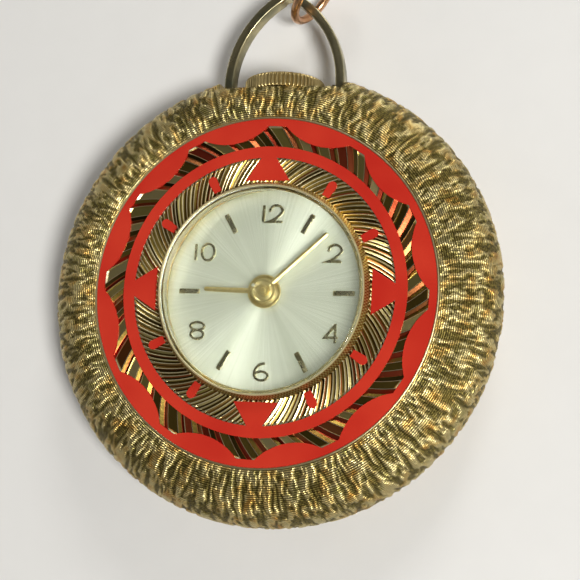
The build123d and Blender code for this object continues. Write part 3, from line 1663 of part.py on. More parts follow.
def lever_with_tongue(pivot, tongue, hub_radius, tongue_low):
    """A flat lever on a post, with a round tongue that reaches down into a groove."""
    with BuildSketch(level(pivot, upper_low, bearing_of(pivot, tongue))) as face:
        Circle(hub_radius)
        Rectangle(distance_of(pivot, tongue), lever_arm_width, align=(Align.MIN, Align.CENTER))
        with Locations((distance_of(pivot, tongue), 0)):
            Circle(lever_arm_width / 2)
        Circle(post_radius + post_clearance, mode=Mode.SUBTRACT)
    extrude(face.sketch, amount=lever_thickness)
    round_bar(tongue, tongue_radius, tongue_low, upper_low)


# Setting lever in the groove of the stem, yoke in the groove of the sliding pinion, yoke spring
with BuildPart() as setting_lever:
    lever_with_tongue(
        setting_lever_place,
        (0.0, stem_groove_middle),
        setting_lever_radius,
        stem_height + stem_groove_radius + tongue_lift,
    )
finish(setting_lever, "setting_lever")

with BuildPart() as yoke:
    lever_with_tongue(
        yoke_place,
        (0.0, groove_start + sliding_groove_width / 2),
        yoke_radius,
        stem_height + sliding_groove_radius + tongue_lift,
    )
finish(yoke, "yoke")

with BuildPart() as yoke_spring:
    blade_spring(yoke_spring_foot, yoke_spring_tip, plate_high, click_spring_width, lever_thickness)
finish(yoke_spring, "yoke_spring")
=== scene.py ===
import json
import math

import bmesh
import bpy
from mathutils import Matrix, Vector, noise


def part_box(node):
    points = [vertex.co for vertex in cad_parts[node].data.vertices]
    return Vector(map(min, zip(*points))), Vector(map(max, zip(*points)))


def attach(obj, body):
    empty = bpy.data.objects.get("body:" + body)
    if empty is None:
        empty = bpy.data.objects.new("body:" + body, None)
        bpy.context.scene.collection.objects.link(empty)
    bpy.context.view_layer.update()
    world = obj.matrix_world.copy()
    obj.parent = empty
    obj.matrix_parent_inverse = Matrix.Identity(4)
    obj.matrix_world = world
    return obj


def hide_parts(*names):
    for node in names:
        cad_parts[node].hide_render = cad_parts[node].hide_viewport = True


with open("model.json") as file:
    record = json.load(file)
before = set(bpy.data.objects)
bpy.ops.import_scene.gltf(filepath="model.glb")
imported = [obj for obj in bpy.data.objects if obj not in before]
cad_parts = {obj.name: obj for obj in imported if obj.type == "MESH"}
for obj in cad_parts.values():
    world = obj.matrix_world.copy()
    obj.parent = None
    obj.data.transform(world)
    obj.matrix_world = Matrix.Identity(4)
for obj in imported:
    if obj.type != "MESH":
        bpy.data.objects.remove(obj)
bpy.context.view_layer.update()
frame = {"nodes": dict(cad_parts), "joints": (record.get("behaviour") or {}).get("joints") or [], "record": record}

# A pendant watch lying on its back: X to 3 o'clock, Y to 12 o'clock, Z out of the dial. Metres.
MM = 0.001

# Case and bark finish
CASE_LOW, CASE_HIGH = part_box("case_body")
CASE_RADIUS = CASE_HIGH[0]
WIDEST_HEIGHT = 3.7 * MM
RIM_HEIGHT = 1.55 * MM
RIM_RADIUS = 17.6 * MM
CASE_BORE = 15.1 * MM
FLANGE_THICKNESS = 0.6 * MM
FLANGE_OVERHANG = 0.2 * MM
NOTCH_HALF = 3.6 * MM
NOTCH_FLOOR = 17.05 * MM
BOW_SEAT_HALF = 5.445 * MM
BOW_SEAT_LOW = 2.78 * MM
STEM_HEIGHT = 3.5 * MM
GROOVE_COUNT = 72
GROOVE_DEPTH = 0.18 * MM
GROOVE_HALF = 0.35 * MM
GROOVE_FADE = 1.4 * MM
GROOVE_MIDDLE_SHARES = (0.36, 0.66)
DOME_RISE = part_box("enamel_scalloped_ring")[1][2] - WIDEST_HEIGHT
SEAT_CLEARANCE = 0.03 * MM
SEAT_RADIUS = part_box("ornament_plate")[1][0] + SEAT_CLEARANCE
DOME_WIDTH = CASE_RADIUS - SEAT_RADIUS
DOME_ARC = (DOME_WIDTH**2 + DOME_RISE**2) / (2 * DOME_WIDTH)
DOME_SPAN = math.atan2(DOME_RISE, DOME_ARC - DOME_WIDTH)
DOME_CENTRE = (CASE_RADIUS - DOME_ARC, WIDEST_HEIGHT)
DOME_STEPS = 72
UNDER_STEPS = 14
RIDGE_PITCH = 0.45 * MM
RIDGE_LENGTH = 1.15 * MM
RIDGE_DEPTH = 0.12 * MM
RIDGE_LEVEL, RIDGE_SPAN = 0.42, 0.8
RAGGED_FINENESS = 1.9
RAGGED_SHORTNESS = 2.6
RAGGED_WEIGHT = 0.5
RAGGED_START = 80
WANDER = 0.16 * MM
WANDER_LENGTH = 1.4 * MM
WANDER_PITCH = CASE_RADIUS / 13
BARK_START_SHARE = 0.5
BARK_FADE_TOP = 0.8 * MM
BARK_FADE_UNDER = 0.9 * MM
# Turned lines of the real case are finer. At this pitch they still show in the render.
TURNED_LINE_PITCH = 0.18 * MM
AROUND_CASE = 1560

# Ornament plate
PLATE_LOW, PLATE_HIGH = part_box("ornament_plate")
PLATE_RADIUS = PLATE_HIGH[0]
LIP_TOP = PLATE_HIGH[2]
LIP_BORE = 8.4 * MM
LIP_FOOT = 8.9 * MM
LIP_EDGE = 0.03 * MM
LIP_EDGE_DROP = 0.05 * MM
LIP_FLAT = 0.12 * MM
LIP_SLOPE_START = 0.16 * MM
LIP_SLOPE = 0.28 * MM
LIP_STEPS = 5
LIP_GRAINS = 225
LIP_GRAIN_LENGTH = 0.22 * MM
LIP_GRAIN_DEPTH = 0.06 * MM
ENAMEL_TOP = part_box("enamel_scalloped_ring")[1][2]
ENAMEL_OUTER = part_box("enamel_scalloped_ring")[1][0]
THIN_RING_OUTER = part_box("enamel_thin_ring")[1][0]
THIN_RING_INNER = 10.9 * MM
CUSP_RADIUS = 13.55 * MM
INLAY_STAND = 0.02 * MM
CELL_DEPTH = 6 * INLAY_STAND
CELL_SETBACK = 0.04 * MM
CUSP_OVERLAP = 0.1 * MM
CUSP_SLOPE = 0.05 * MM
BORDER_EDGE = 0.04 * MM
BORDER_LIFT = 0.02 * MM
BORDER_SETBACK = 0.02 * MM
BORDER_BEAD = 0.035 * MM
BORDER_START = 0.01 * MM
HATCH_RIDGES = 144
HATCH_STEPS = 16
HATCH_LEAN = math.radians(-10)
HATCH_DEPTH = 0.13 * MM
FACETS = 45
FACET_STEPS = 12
FACET_LEAN = math.radians(6.5)
FACET_DEPTH = 0.18 * MM
FACET_SINK = 0.03 * MM
GAP_SINK = 0.05 * MM
BRIGHT_SINK = 0.01 * MM
CREST_SHARES = (0.35, 0.65)
CREST_RISE, BEAD_RISE = 0.8, 0.4
BEAD_START_SHARE = 0.93
HATCH_DEPTH_SHARES = (0.6, 1.0)
FLANK_FOOT_SHARES = (0.0, 0.3)
FACE_SHARES = (0.45, 0.65)
FACET_EDGE_STEPS = 2
FACET_END_SHARE = 0.96
FACET_TILT_SHARE = 0.3
RED_START_SHARE = 0.4
GRAIN_DEPTH_SHARES = (0.4, 1.0)
GRAIN_SHADE = 0.6
# Tones of the cuts: 0 is the darkest gold, 0.4 the red of the enamel, and 1 the brightest gold
# The dark tones are painted shade, the lit tones painted light, and the red tones a painted reflection of the
# enamel
PAINTED_SHADE_TONES, LIT_TONES, FACE_TONES, ENAMEL_REFLECTION_TONES = (0.0, 0.3), (0.42, 0.72), (0.15, 0.75), (0.38, 0.44)
# The edge and crest tones are painted highlights
EDGE_HIGHLIGHT, CREST_HIGHLIGHT, BRIGHT_BEAD, BRIGHT_PLAIN = 0.95, 0.9, 0.8, 0.85
TRIANGLE_TIP = 0.62 * MM
TRIANGLE_OVERLAP = 0.03 * MM
TRIANGLE_BREAK = 0.03 * MM
TRIANGLE_CROWN = 0.012 * MM
AROUND_PLATE = 2160

# Crystal
CRYSTAL_LOW, CRYSTAL_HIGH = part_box("crystal")
CRYSTAL_RADIUS = CRYSTAL_HIGH[0]
CRYSTAL_WALL = 0.25 * MM
CRYSTAL_SIDE = 1.35 * MM
CRYSTAL_THICKNESS = 0.6 * MM
CRYSTAL_ROUND = 0.1 * MM
ROUND_STEPS = 8
OUTER_STEPS = 39
INNER_STEPS = 31
AROUND_CRYSTAL = 240
AXIS_GAP = 0.01 * MM

# Dial, hands and applied numbers
DIAL_MIDDLE = 4.2 * MM
RAY_WIDTH = 0.1 * MM
FAN_WIDTH = 1.909 * MM
HOUR_BOSS, HOUR_PIN, HOUR_WIDTH = 1.35 * MM, 0.4 * MM, 0.42 * MM
MINUTE_BOSS, MINUTE_PIN, MINUTE_WIDTH = 1.0 * MM, 0.48 * MM, 0.4 * MM
HAND_TUCK = 0.3 * MM
HAND_POINT = 0.12 * MM
HAND_WIDTH_SHARES = (1.0, 0.85, 0.5)
HAND_SECTION_SHARES = (
    (-0.5, 0.15), (-0.5, 0.6), (-0.08, 1.0), (0.08, 1.0),
    (0.5, 0.6), (0.5, 0.15), (0.35, 0.0), (-0.35, 0.0),
)
BOSS_EDGE = 0.03 * MM
BOSS_ROUND = 0.05 * MM
BOSS_RIM = 0.16 * MM
BOSS_DISH = 0.24 * MM
BOSS_DISH_SHARE = 0.3
BOSS_LINE_PITCH = 0.08 * MM
BOSS_LINE_DEPTH = 0.012 * MM
PIN_EDGE = 0.02 * MM
PIN_STEP = 0.01 * MM
PIN_COLLAR = 0.04 * MM
PIN_TIP = 0.05 * MM
PIN_STEP_SHARE, PIN_COLLAR_SHARE = 0.5, 0.45
PIN_AXIS_GAP = 0.004 * MM
AROUND_BOSS = 96
NUMERAL_BREAK = 0.03 * MM
BATON_BREAK = 0.05 * MM

# Crown
CROWN_FLUTES = 60
STEPS_PER_FLUTE = 12
CROWN_FLUTE_DEPTH = 0.16 * MM
CROWN_BORE_DEPTH = 0.9 * MM
CROWN_DOME = 0.55 * MM
CROWN_BOSS = 1.1 * MM
CROWN_BOSS_BORE = 0.55 * MM
CROWN_BORE_DRAFT = 0.001 * MM
CROWN_SKIRT_STEP = 0.02 * MM
CROWN_WALL = 0.6 * MM
CROWN_FOOT = 0.06 * MM
CROWN_FOOT_HEIGHT = 0.08 * MM
CROWN_TOP_GAP = 0.12 * MM
CROWN_TOP_ROUND = 0.05 * MM
CROWN_FACE_EDGE = 0.16 * MM
CROWN_RING_PITCH = 0.3 * MM
CROWN_RING_DEPTH = 0.012 * MM
CROWN_FACE_STEPS = 24
CROWN_SIDE_STEPS = 4
CROWN_FOOT_SHARE, CROWN_TOP_SHARE = 0.6, 0.8

# Bow, ring and link
BOW_THINNING = 0.2 * MM
BOW_BREAK = 0.15 * MM
FOOT_BAND = 0.01 * MM
RING_WIRE = 0.36 * MM
LINK_WIRE = 0.35 * MM
WIRE_WEAR_SHARE = 0.03
AROUND_RING, AROUND_WIRE = 96, 28

# Plain solids are cleaned before their edges are broken
WELD_GAP = 0.002 * MM
FLAT_ANGLE = math.radians(1)
BREAK_ANGLE = math.radians(35)
SHARP_ANGLE = math.radians(40)

# Studio, in metres
FLOOR_SIZE = 1.2
FLOOR_GAP = 0.02 * MM
ROOM_STRENGTH = 0.6
# Each lamp has a name, a place, a size and a power in watts
LAMPS = (
    ("key_from_right", Vector((0.50, -0.26, 0.83)) * 0.34, 0.09, 1.05),
    ("left_softbox", Vector((-0.42, 0.14, 0.17)), 0.2, 0.14),
    ("far_strip", Vector((0.10, 0.40, 0.24)), 0.16, 0.7),
)

# Camera at the photograph's viewing angle
CAMERA_PLACE = Vector((28.477, -14.572, 104.709)) * MM
CAMERA_RIGHT = Vector((0.96651, 0.05233, -0.25124))
CAMERA_UP = Vector((-0.01405, 0.98831, 0.15183))
CAMERA_LENS = 79.35
CAMERA_SENSOR = 36.0
CAMERA_NEAR = 1.0 * MM


def hex_colour(code):
    """An sRGB hex colour as linear RGBA."""
    parts = [int(code[i : i + 2], 16) / 255 for i in (1, 3, 5)]
    return [c / 12.92 if c <= 0.04045 else ((c + 0.055) / 1.055) ** 2.4 for c in parts] + [1.0]


def add(tree, kind, inputs=None, **settings):
    """Adds a node with its settings, and sets or links its inputs."""
    made = tree.nodes.new(kind)
    for name, value in settings.items():
        setattr(made, name, value)
    for socket, value in (inputs or {}).items():
        if isinstance(value, bpy.types.NodeSocket):
            tree.links.new(value, made.inputs[socket])
        else:
            made.inputs[socket].default_value = value
    return made


def new_material(name):
    """An empty node material and its tree."""
    material = bpy.data.materials.new(name)
    material.use_nodes = True
    tree = material.node_tree
    tree.nodes.clear()
    return material, tree


def close_material(tree, shader):
    """Ends a material with its shader."""
    add(tree, "ShaderNodeOutputMaterial", {"Surface": shader.outputs[0]})


def blend_colours(tree, factor, low, high):
    """A colour between two, by a factor from another node."""
    mix = add(tree, "ShaderNodeMix", {"Factor": factor}, data_type="RGBA")
    for socket, colour in (("A", low), ("B", high)):
        target = [s for s in mix.inputs if s.name == socket and s.type == "RGBA"][0]
        if isinstance(colour, bpy.types.NodeSocket):
            tree.links.new(colour, target)
        else:
            target.default_value = hex_colour(colour)
    return [s for s in mix.outputs if s.type == "RGBA"][0]


def stepped_colour(tree, factor, stops):
    """A colour picked by a factor from a row of (position, colour) stops."""
    made = add(tree, "ShaderNodeValToRGB", {"Fac": factor})
    ramp = made.color_ramp
    while len(ramp.elements) < len(stops):
        ramp.elements.new(1.0)
    for element, (position, code) in zip(ramp.elements, stops):
        element.position = position
        element.color = hex_colour(code)
    return made.outputs["Color"]


def spread_of(tree, value, low, high, new_low=0.0, new_high=1.0):
    """A value stretched from one span to another."""
    span = {"Value": value, "From Min": low, "From Max": high, "To Min": new_low, "To Max": new_high}
    return add(tree, "ShaderNodeMapRange", span).outputs["Result"]


def object_place(tree):
    """The place of a point on its piece, in metres."""
    return add(tree, "ShaderNodeTexCoord").outputs["Object"]


def rolled_gold_bark():
    """Rolled gold, cast as bark and then turned.

    The eye sees bright crests crossed by fine lathe lines, warm and green patches, and dark creases.
    The creases and the troughs of the lathe lines are darkened with painted shade.
    """
    material, tree = new_material("rolled_gold_bark")
    patch_size, speck_size, line_depth = 1.1 * MM, 0.16 * MM, 0.04 * MM
    place = object_place(tree)
    hollow = add(tree, "ShaderNodeAttribute", attribute_name="hollow").outputs["Fac"]
    turned = add(tree, "ShaderNodeAttribute", attribute_name="turned").outputs["Fac"]
    patch = add(tree, "ShaderNodeTexNoise", {"Vector": place, "Scale": 1 / patch_size, "Detail": 3.0})
    speck = add(tree, "ShaderNodeTexNoise", {"Vector": place, "Scale": 1 / speck_size, "Detail": 2.0})
    stops = [(0.33, "#B7A964"), (0.45, "#EDDA9C"), (0.55, "#E9CC80"), (0.7, "#D09C4A")]
    gold = stepped_colour(tree, patch.outputs["Fac"], stops)
    # Painted shade in the creases: the deeper the bark lies, the darker its colour
    crease_shade = blend_colours(tree, spread_of(tree, speck.outputs["Fac"], 0.35, 0.65), "#2D2810", "#8E7F42")
    colour = blend_colours(tree, spread_of(tree, hollow, 0.25, 0.9, 0.0, 0.95), gold, crease_shade)
    # Painted shade along the troughs of the lathe lines, on top of their bump
    turns = 2 * math.pi * MM / TURNED_LINE_PITCH
    line = add(tree, "ShaderNodeMath", {0: turned, 1: turns}, operation="MULTIPLY")
    wave = add(tree, "ShaderNodeMath", {0: line.outputs[0]}, operation="SINE")
    shade = spread_of(tree, wave.outputs[0], 0.3, -0.7, 0.0, 0.8)
    colour = blend_colours(tree, shade, colour, "#443A1A")
    height = add(
        tree,
        "ShaderNodeMath",
        {0: wave.outputs[0], 1: 0.4, 2: speck.outputs["Fac"]},
        operation="MULTIPLY_ADD",
    )
    bump = add(
        tree, "ShaderNodeBump", {"Height": height.outputs[0], "Strength": 0.9, "Distance": line_depth}
    )
    rough = spread_of(tree, hollow, 0.1, 0.8, 0.32, 0.5)
    shader = add(
        tree,
        "ShaderNodeBsdfPrincipled",
        {"Base Color": colour, "Metallic": 1.0, "Roughness": rough, "Normal": bump.outputs[0]},
    )
    close_material(tree, shader)
    return material


def diamond_cut_gold():
    """Rolled gold cut by a polished diamond tool.

    The eye sees flat, bright facets of many tones with painted highlights on their edges,
    painted shade and painted reflections of the red enamel between them, and a duller lip.
    """
    material, tree = new_material("diamond_cut_gold")
    scratch_size, scratch_depth, facet_roughness, lip_roughness = 0.3 * MM, 0.02 * MM, 0.32, 0.5
    lip_start, lip_full = ENAMEL_TOP + 0.05 * MM, ENAMEL_TOP + 0.15 * MM
    place = object_place(tree)
    tone = add(tree, "ShaderNodeAttribute", attribute_name="tone").outputs["Fac"]
    scratch = add(tree, "ShaderNodeTexNoise", {"Vector": place, "Scale": 1 / scratch_size, "Detail": 3.0})
    # The low stops give the painted shade, the red stop the painted reflection of the enamel, the top stops
    # painted highlights and plain gold
    stops = [
        (0.0, "#2E230F"),
        (0.28, "#7E6A30"),
        (0.4, "#9C3625"),
        (0.52, "#A29450"),
        (0.72, "#D2C080"),
        (0.92, "#F8ECC4"),
    ]
    colour = stepped_colour(tree, tone, stops)
    bump = add(
        tree,
        "ShaderNodeBump",
        {"Height": scratch.outputs["Fac"], "Strength": 0.6, "Distance": scratch_depth},
    )
    height = add(tree, "ShaderNodeSeparateXYZ", {"Vector": place}).outputs["Z"]
    rough = spread_of(tree, height, lip_start, lip_full, facet_roughness, lip_roughness)
    shader = add(
        tree,
        "ShaderNodeBsdfPrincipled",
        {"Base Color": colour, "Metallic": 1.0, "Roughness": rough, "Normal": bump.outputs[0]},
    )
    close_material(tree, shader)
    return material


def vitreous_enamel():
    """Opaque red glass fired into the cells: a glossy, slightly dimpled skin, warmer here and there."""
    material, tree = new_material("vitreous_enamel")
    cast_size, dimple_size, dimple_depth = 6.0 * MM, 1.4 * MM, 0.03 * MM
    place = object_place(tree)
    cast = add(tree, "ShaderNodeTexNoise", {"Vector": place, "Scale": 1 / cast_size, "Detail": 2.0})
    dimple = add(tree, "ShaderNodeTexNoise", {"Vector": place, "Scale": 1 / dimple_size, "Detail": 3.0})
    colour = blend_colours(tree, spread_of(tree, cast.outputs["Fac"], 0.35, 0.65), "#B8291D", "#C63725")
    bump = add(
        tree, "ShaderNodeBump", {"Height": dimple.outputs["Fac"], "Strength": 0.5, "Distance": dimple_depth}
    )
    shader = add(
        tree,
        "ShaderNodeBsdfPrincipled",
        {"Base Color": colour, "Roughness": 0.14, "IOR": 1.52, "Normal": bump.outputs[0]},
    )
    close_material(tree, shader)
    return material


def clear_acrylic():
    """Clear moulded acrylic, polished, with the faint haze of wear."""
    material, tree = new_material("clear_acrylic")
    haze_size = 1.2 * MM
    place = object_place(tree)
    haze = add(tree, "ShaderNodeTexNoise", {"Vector": place, "Scale": 1 / haze_size, "Detail": 6.0})
    rough = spread_of(tree, haze.outputs["Fac"], 0.3, 0.8, 0.01, 0.05)
    glass = add(
        tree,
        "ShaderNodeBsdfPrincipled",
        {
            "Base Color": hex_colour("#F7F8F4"),
            "Roughness": rough,
            "IOR": 1.49,
            "Transmission Weight": 1.0,
        },
    )
    clear = add(tree, "ShaderNodeBsdfTransparent", {"Color": hex_colour("#F4F5F1")})
    shadow = add(tree, "ShaderNodeLightPath").outputs["Is Shadow Ray"]
    mix = add(tree, "ShaderNodeMixShader", {0: shadow, 1: glass.outputs[0], 2: clear.outputs[0]})
    close_material(tree, mix)
    return material


def silvered_sunburst():
    """A silvered brass dial brushed from its centre outwards, under clear lacquer.

    The brushing fans the light out. Real brush lines are finer. These are wide enough to show.
    """
    material, tree = new_material("silvered_sunburst")
    ray_scale, fan_scale, ray_depth = DIAL_MIDDLE / RAY_WIDTH, DIAL_MIDDLE / FAN_WIDTH, 0.03 * MM
    place = object_place(tree)
    parts = add(tree, "ShaderNodeSeparateXYZ", {"Vector": place})
    angle = add(tree, "ShaderNodeMath", {0: parts.outputs[1], 1: parts.outputs[0]}, operation="ARCTAN2")
    along = add(tree, "ShaderNodeCombineXYZ", {"X": angle.outputs[0]})
    rays = add(tree, "ShaderNodeTexNoise", {"Vector": along.outputs[0], "Scale": ray_scale, "Detail": 4.0})
    fan = add(tree, "ShaderNodeTexNoise", {"Vector": along.outputs[0], "Scale": fan_scale, "Detail": 1.0})
    bump = add(
        tree, "ShaderNodeBump", {"Height": rays.outputs["Fac"], "Strength": 0.4, "Distance": ray_depth}
    )
    fine = blend_colours(tree, spread_of(tree, rays.outputs["Fac"], 0.3, 0.7), "#C8CDBB", "#E0E4D8")
    colour = blend_colours(tree, spread_of(tree, fan.outputs["Fac"], 0.4, 0.7, 0.0, 0.5), fine, "#B6BCA8")
    tangent = add(tree, "ShaderNodeTangent", direction_type="RADIAL", axis="Z")
    shader = add(
        tree,
        "ShaderNodeBsdfPrincipled",
        {
            "Base Color": colour,
            "Metallic": 0.6,
            "Roughness": 0.4,
            "Anisotropic": 0.75,
            "Tangent": tangent.outputs[0],
            "Normal": bump.outputs[0],
            "Coat Weight": 0.3,
            "Coat Roughness": 0.2,
        },
    )
    close_material(tree, shader)
    return material


def worn_metal(name, bright, worn, roughness, grain_mm, wear_mm):
    """A polished metal: a soft mirror with a fine grain, and patches worn to a second tone."""
    material, tree = new_material(name)
    grain_depth = 0.01 * MM
    place = object_place(tree)
    wear = add(tree, "ShaderNodeTexNoise", {"Vector": place, "Scale": 1 / (wear_mm * MM), "Detail": 5.0})
    grain = add(tree, "ShaderNodeTexNoise", {"Vector": place, "Scale": 1 / (grain_mm * MM), "Detail": 3.0})
    colour = blend_colours(tree, spread_of(tree, wear.outputs["Fac"], 0.42, 0.68), bright, worn)
    rough = spread_of(tree, wear.outputs["Fac"], 0.3, 0.7, roughness, roughness * 1.6)
    bump = add(
        tree, "ShaderNodeBump", {"Height": grain.outputs["Fac"], "Strength": 0.3, "Distance": grain_depth}
    )
    shader = add(
        tree,
        "ShaderNodeBsdfPrincipled",
        {"Base Color": colour, "Metallic": 1.0, "Roughness": rough, "Normal": bump.outputs[0]},
    )
    close_material(tree, shader)
    return material


def brushed_gilt():
    """Rolled gold brushed one way: long soft streaks of light, crossed by the stray scratches of wear.

    Real brush lines are finer. These are as wide as they need to be to show.
    """
    material, tree = new_material("brushed_gilt")
    brush_width, brush_length, brush_depth = 0.14 * MM, 16 * MM, 0.012 * MM
    stray_width, stray_length, stray_turn, wear_size = 0.4 * MM, 11 * MM, 1.1, 9.0 * MM
    drawn_scale = (1 / brush_length, 1 / brush_width, 1 / brush_length)
    stray_scale = (1 / stray_length, 1 / stray_width, 1 / stray_length)
    place = object_place(tree)
    drawn = add(tree, "ShaderNodeMapping", {"Vector": place, "Scale": drawn_scale})
    turned = add(tree, "ShaderNodeMapping", {"Vector": place, "Rotation": (0.0, 0.0, stray_turn)})
    long = add(tree, "ShaderNodeMapping", {"Vector": turned.outputs[0], "Scale": stray_scale})
    brush = add(tree, "ShaderNodeTexNoise", {"Vector": drawn.outputs[0], "Scale": 1.0, "Detail": 2.0})
    stray = add(tree, "ShaderNodeTexNoise", {"Vector": long.outputs[0], "Scale": 1.0, "Detail": 1.0})
    wear = add(tree, "ShaderNodeTexNoise", {"Vector": place, "Scale": 1 / wear_size, "Detail": 4.0})
    scratch = spread_of(tree, stray.outputs["Fac"], 0.7, 0.76)
    colour = blend_colours(tree, spread_of(tree, wear.outputs["Fac"], 0.4, 0.7), "#E2C67F", "#D3AE66")
    colour = blend_colours(tree, scratch, colour, "#CDA765")
    height = add(
        tree, "ShaderNodeMath", {0: scratch, 1: -0.2, 2: brush.outputs["Fac"]}, operation="MULTIPLY_ADD"
    )
    bump = add(
        tree, "ShaderNodeBump", {"Height": height.outputs[0], "Strength": 0.35, "Distance": brush_depth}
    )
    rough = spread_of(tree, wear.outputs["Fac"], 0.3, 0.7, 0.22, 0.34)
    shader = add(
        tree,
        "ShaderNodeBsdfPrincipled",
        {"Base Color": colour, "Metallic": 1.0, "Roughness": rough, "Normal": bump.outputs[0]},
    )
    close_material(tree, shader)
    return material


def moulded_nylon():
    """White moulded nylon, faintly mottled, with a satin skin."""
    material, tree = new_material("moulded_nylon")
    mottle_size = 0.8 * MM
    place = object_place(tree)
    mottle = add(tree, "ShaderNodeTexNoise", {"Vector": place, "Scale": 1 / mottle_size, "Detail": 3.0})
    colour = blend_colours(tree, mottle.outputs["Fac"], "#DEDDD4", "#E9E8E0")
    shader = add(tree, "ShaderNodeBsdfPrincipled", {"Base Color": colour, "Roughness": 0.5})
    close_material(tree, shader)
    return material


def pale_paper():
    """Matt seamless paper under the watch: a plain pale ground with the faint cloud of its fibres."""
    material, tree = new_material("pale_paper")
    fibre_size = 3.0 * MM
    place = object_place(tree)
    fibre = add(tree, "ShaderNodeTexNoise", {"Vector": place, "Scale": 1 / fibre_size, "Detail": 3.0})
    colour = blend_colours(tree, fibre.outputs["Fac"], "#DEDCD7", "#E2E0DB")
    shader = add(tree, "ShaderNodeBsdfPrincipled", {"Base Color": colour, "Roughness": 0.85})
    close_material(tree, shader)
    return material


def mesh_piece(name, points, faces, material, smooth=True):
    """A mesh object with one material, turned outwards as a whole by the sign of its volume.

    Shells aren't turned one by one, so a small shell in a mesh of several can face inwards.
    """
    mesh = bpy.data.meshes.new(name)
    mesh.from_pydata([tuple(p) for p in points], [], faces)
    shape = bmesh.new()
    shape.from_mesh(mesh)
    if shape.calc_volume(signed=True) < 0:
        bmesh.ops.reverse_faces(shape, faces=shape.faces)
    shape.to_mesh(mesh)
    shape.free()
    mesh.polygons.foreach_set("use_smooth", [smooth] * len(mesh.polygons))
    mesh.materials.append(material)
    piece = bpy.data.objects.new(name, mesh)
    bpy.context.collection.objects.link(piece)
    return piece


def add_values(piece, name, values):
    """A number for each point, for the material to read."""
    attribute = piece.data.attributes.new(name, "FLOAT", "POINT")
    attribute.data.foreach_set("value", values)


def swept_loop_faces(rows, around):
    """Faces of a closed profile turned about an axis: rows of points, each row once around."""
    faces = []
    for row in range(rows):
        below = (row + 1) % rows
        for step in range(around):
            after = (step + 1) % around
            corners = ((row, step), (row, after), (below, after), (below, step))
            faces.append(tuple(place * around + turn for place, turn in corners))
    return faces


def turned_points(profile, around):
    """Points of a closed (radius, height) profile turned about Z."""
    points = []
    for radius, height in profile:
        for step in range(around):
            angle = 2 * math.pi * step / around
            points.append((radius * math.cos(angle), radius * math.sin(angle), height))
    return points


def arc_radius(half_width, rise):
    """Radius of the arc that rises by so much over a half width."""
    return (half_width**2 + rise**2) / (2 * rise)


def circle_arc(start, end, tangent, steps):
    """Points of the arc that leaves start along tangent and ends at end."""
    chord = (end[0] - start[0], end[1] - start[1])
    size = math.hypot(*tangent)
    normal = (-tangent[1] / size, tangent[0] / size)
    across = chord[0] * normal[0] + chord[1] * normal[1]
    radius = (chord[0] ** 2 + chord[1] ** 2) / (2 * across)
    centre = (start[0] + normal[0] * radius, start[1] + normal[1] * radius)
    first = math.atan2(start[1] - centre[1], start[0] - centre[0])
    turn = math.atan2(end[1] - centre[1], end[0] - centre[0]) - first
    if radius > 0 > turn:
        turn += 2 * math.pi
    if radius < 0 < turn:
        turn -= 2 * math.pi
    reach, points = abs(radius), []
    for i in range(steps + 1):
        angle = first + turn * i / steps
        points.append((centre[0] + reach * math.cos(angle), centre[1] + reach * math.sin(angle)))
    return points


def wandering(direction, along):
    """How far the bark's grain strays sideways, in metres, at a place on the dome."""
    cells = CASE_RADIUS / WANDER_PITCH
    place = Vector((direction[0] * cells, direction[1] * cells, along / WANDER_LENGTH))
    return WANDER * noise.noise(place)


def ridge_relief(direction, along):
    """The fine broken ridges between the grooves: 0 in a hollow, 1 on a crest."""
    cells = CASE_RADIUS / RIDGE_PITCH
    x, y, z = direction[0] * cells, direction[1] * cells, along / RIDGE_LENGTH
    ridges = noise.noise(Vector((x, y, z)))
    fine = Vector((x * RAGGED_FINENESS + RAGGED_START, y * RAGGED_FINENESS, z * RAGGED_SHORTNESS))
    height = (ridges + RAGGED_WEIGHT * noise.noise(fine) + RIDGE_LEVEL) / RIDGE_SPAN
    height = max(0.0, min(1.0, height))
    return height * height * (3 - 2 * height)


def groove_sink(angle, radius, middle_angle):
    """Depth of the main grooves: two staggered sets, each fading out along the dome."""
    pitch = 2 * math.pi / GROOVE_COUNT
    index = math.floor(angle / pitch)
    across = abs(angle - (index + 0.5) * pitch) * radius
    fade = GROOVE_FADE * (1 - math.cos(middle_angle - DOME_SPAN * GROOVE_MIDDLE_SHARES[index % 2]))
    return max(0.0, GROOVE_DEPTH * (1 - across / GROOVE_HALF) - fade)


def bark_sink(angle, radius, along, whole):
    """How deep the bark lies below the smooth dome, at an angle and so far along its section."""
    strayed = angle + wandering((math.cos(angle), math.sin(angle)), along) / radius
    relief = ridge_relief((math.cos(strayed), math.sin(strayed)), along)
    fade = min(1.0, BARK_START_SHARE + along / BARK_FADE_TOP, (whole - along) / BARK_FADE_UNDER)
    groove = groove_sink(strayed, radius, DOME_SPAN - along / DOME_ARC)
    return max(groove, RIDGE_DEPTH * (1 - relief) * fade)


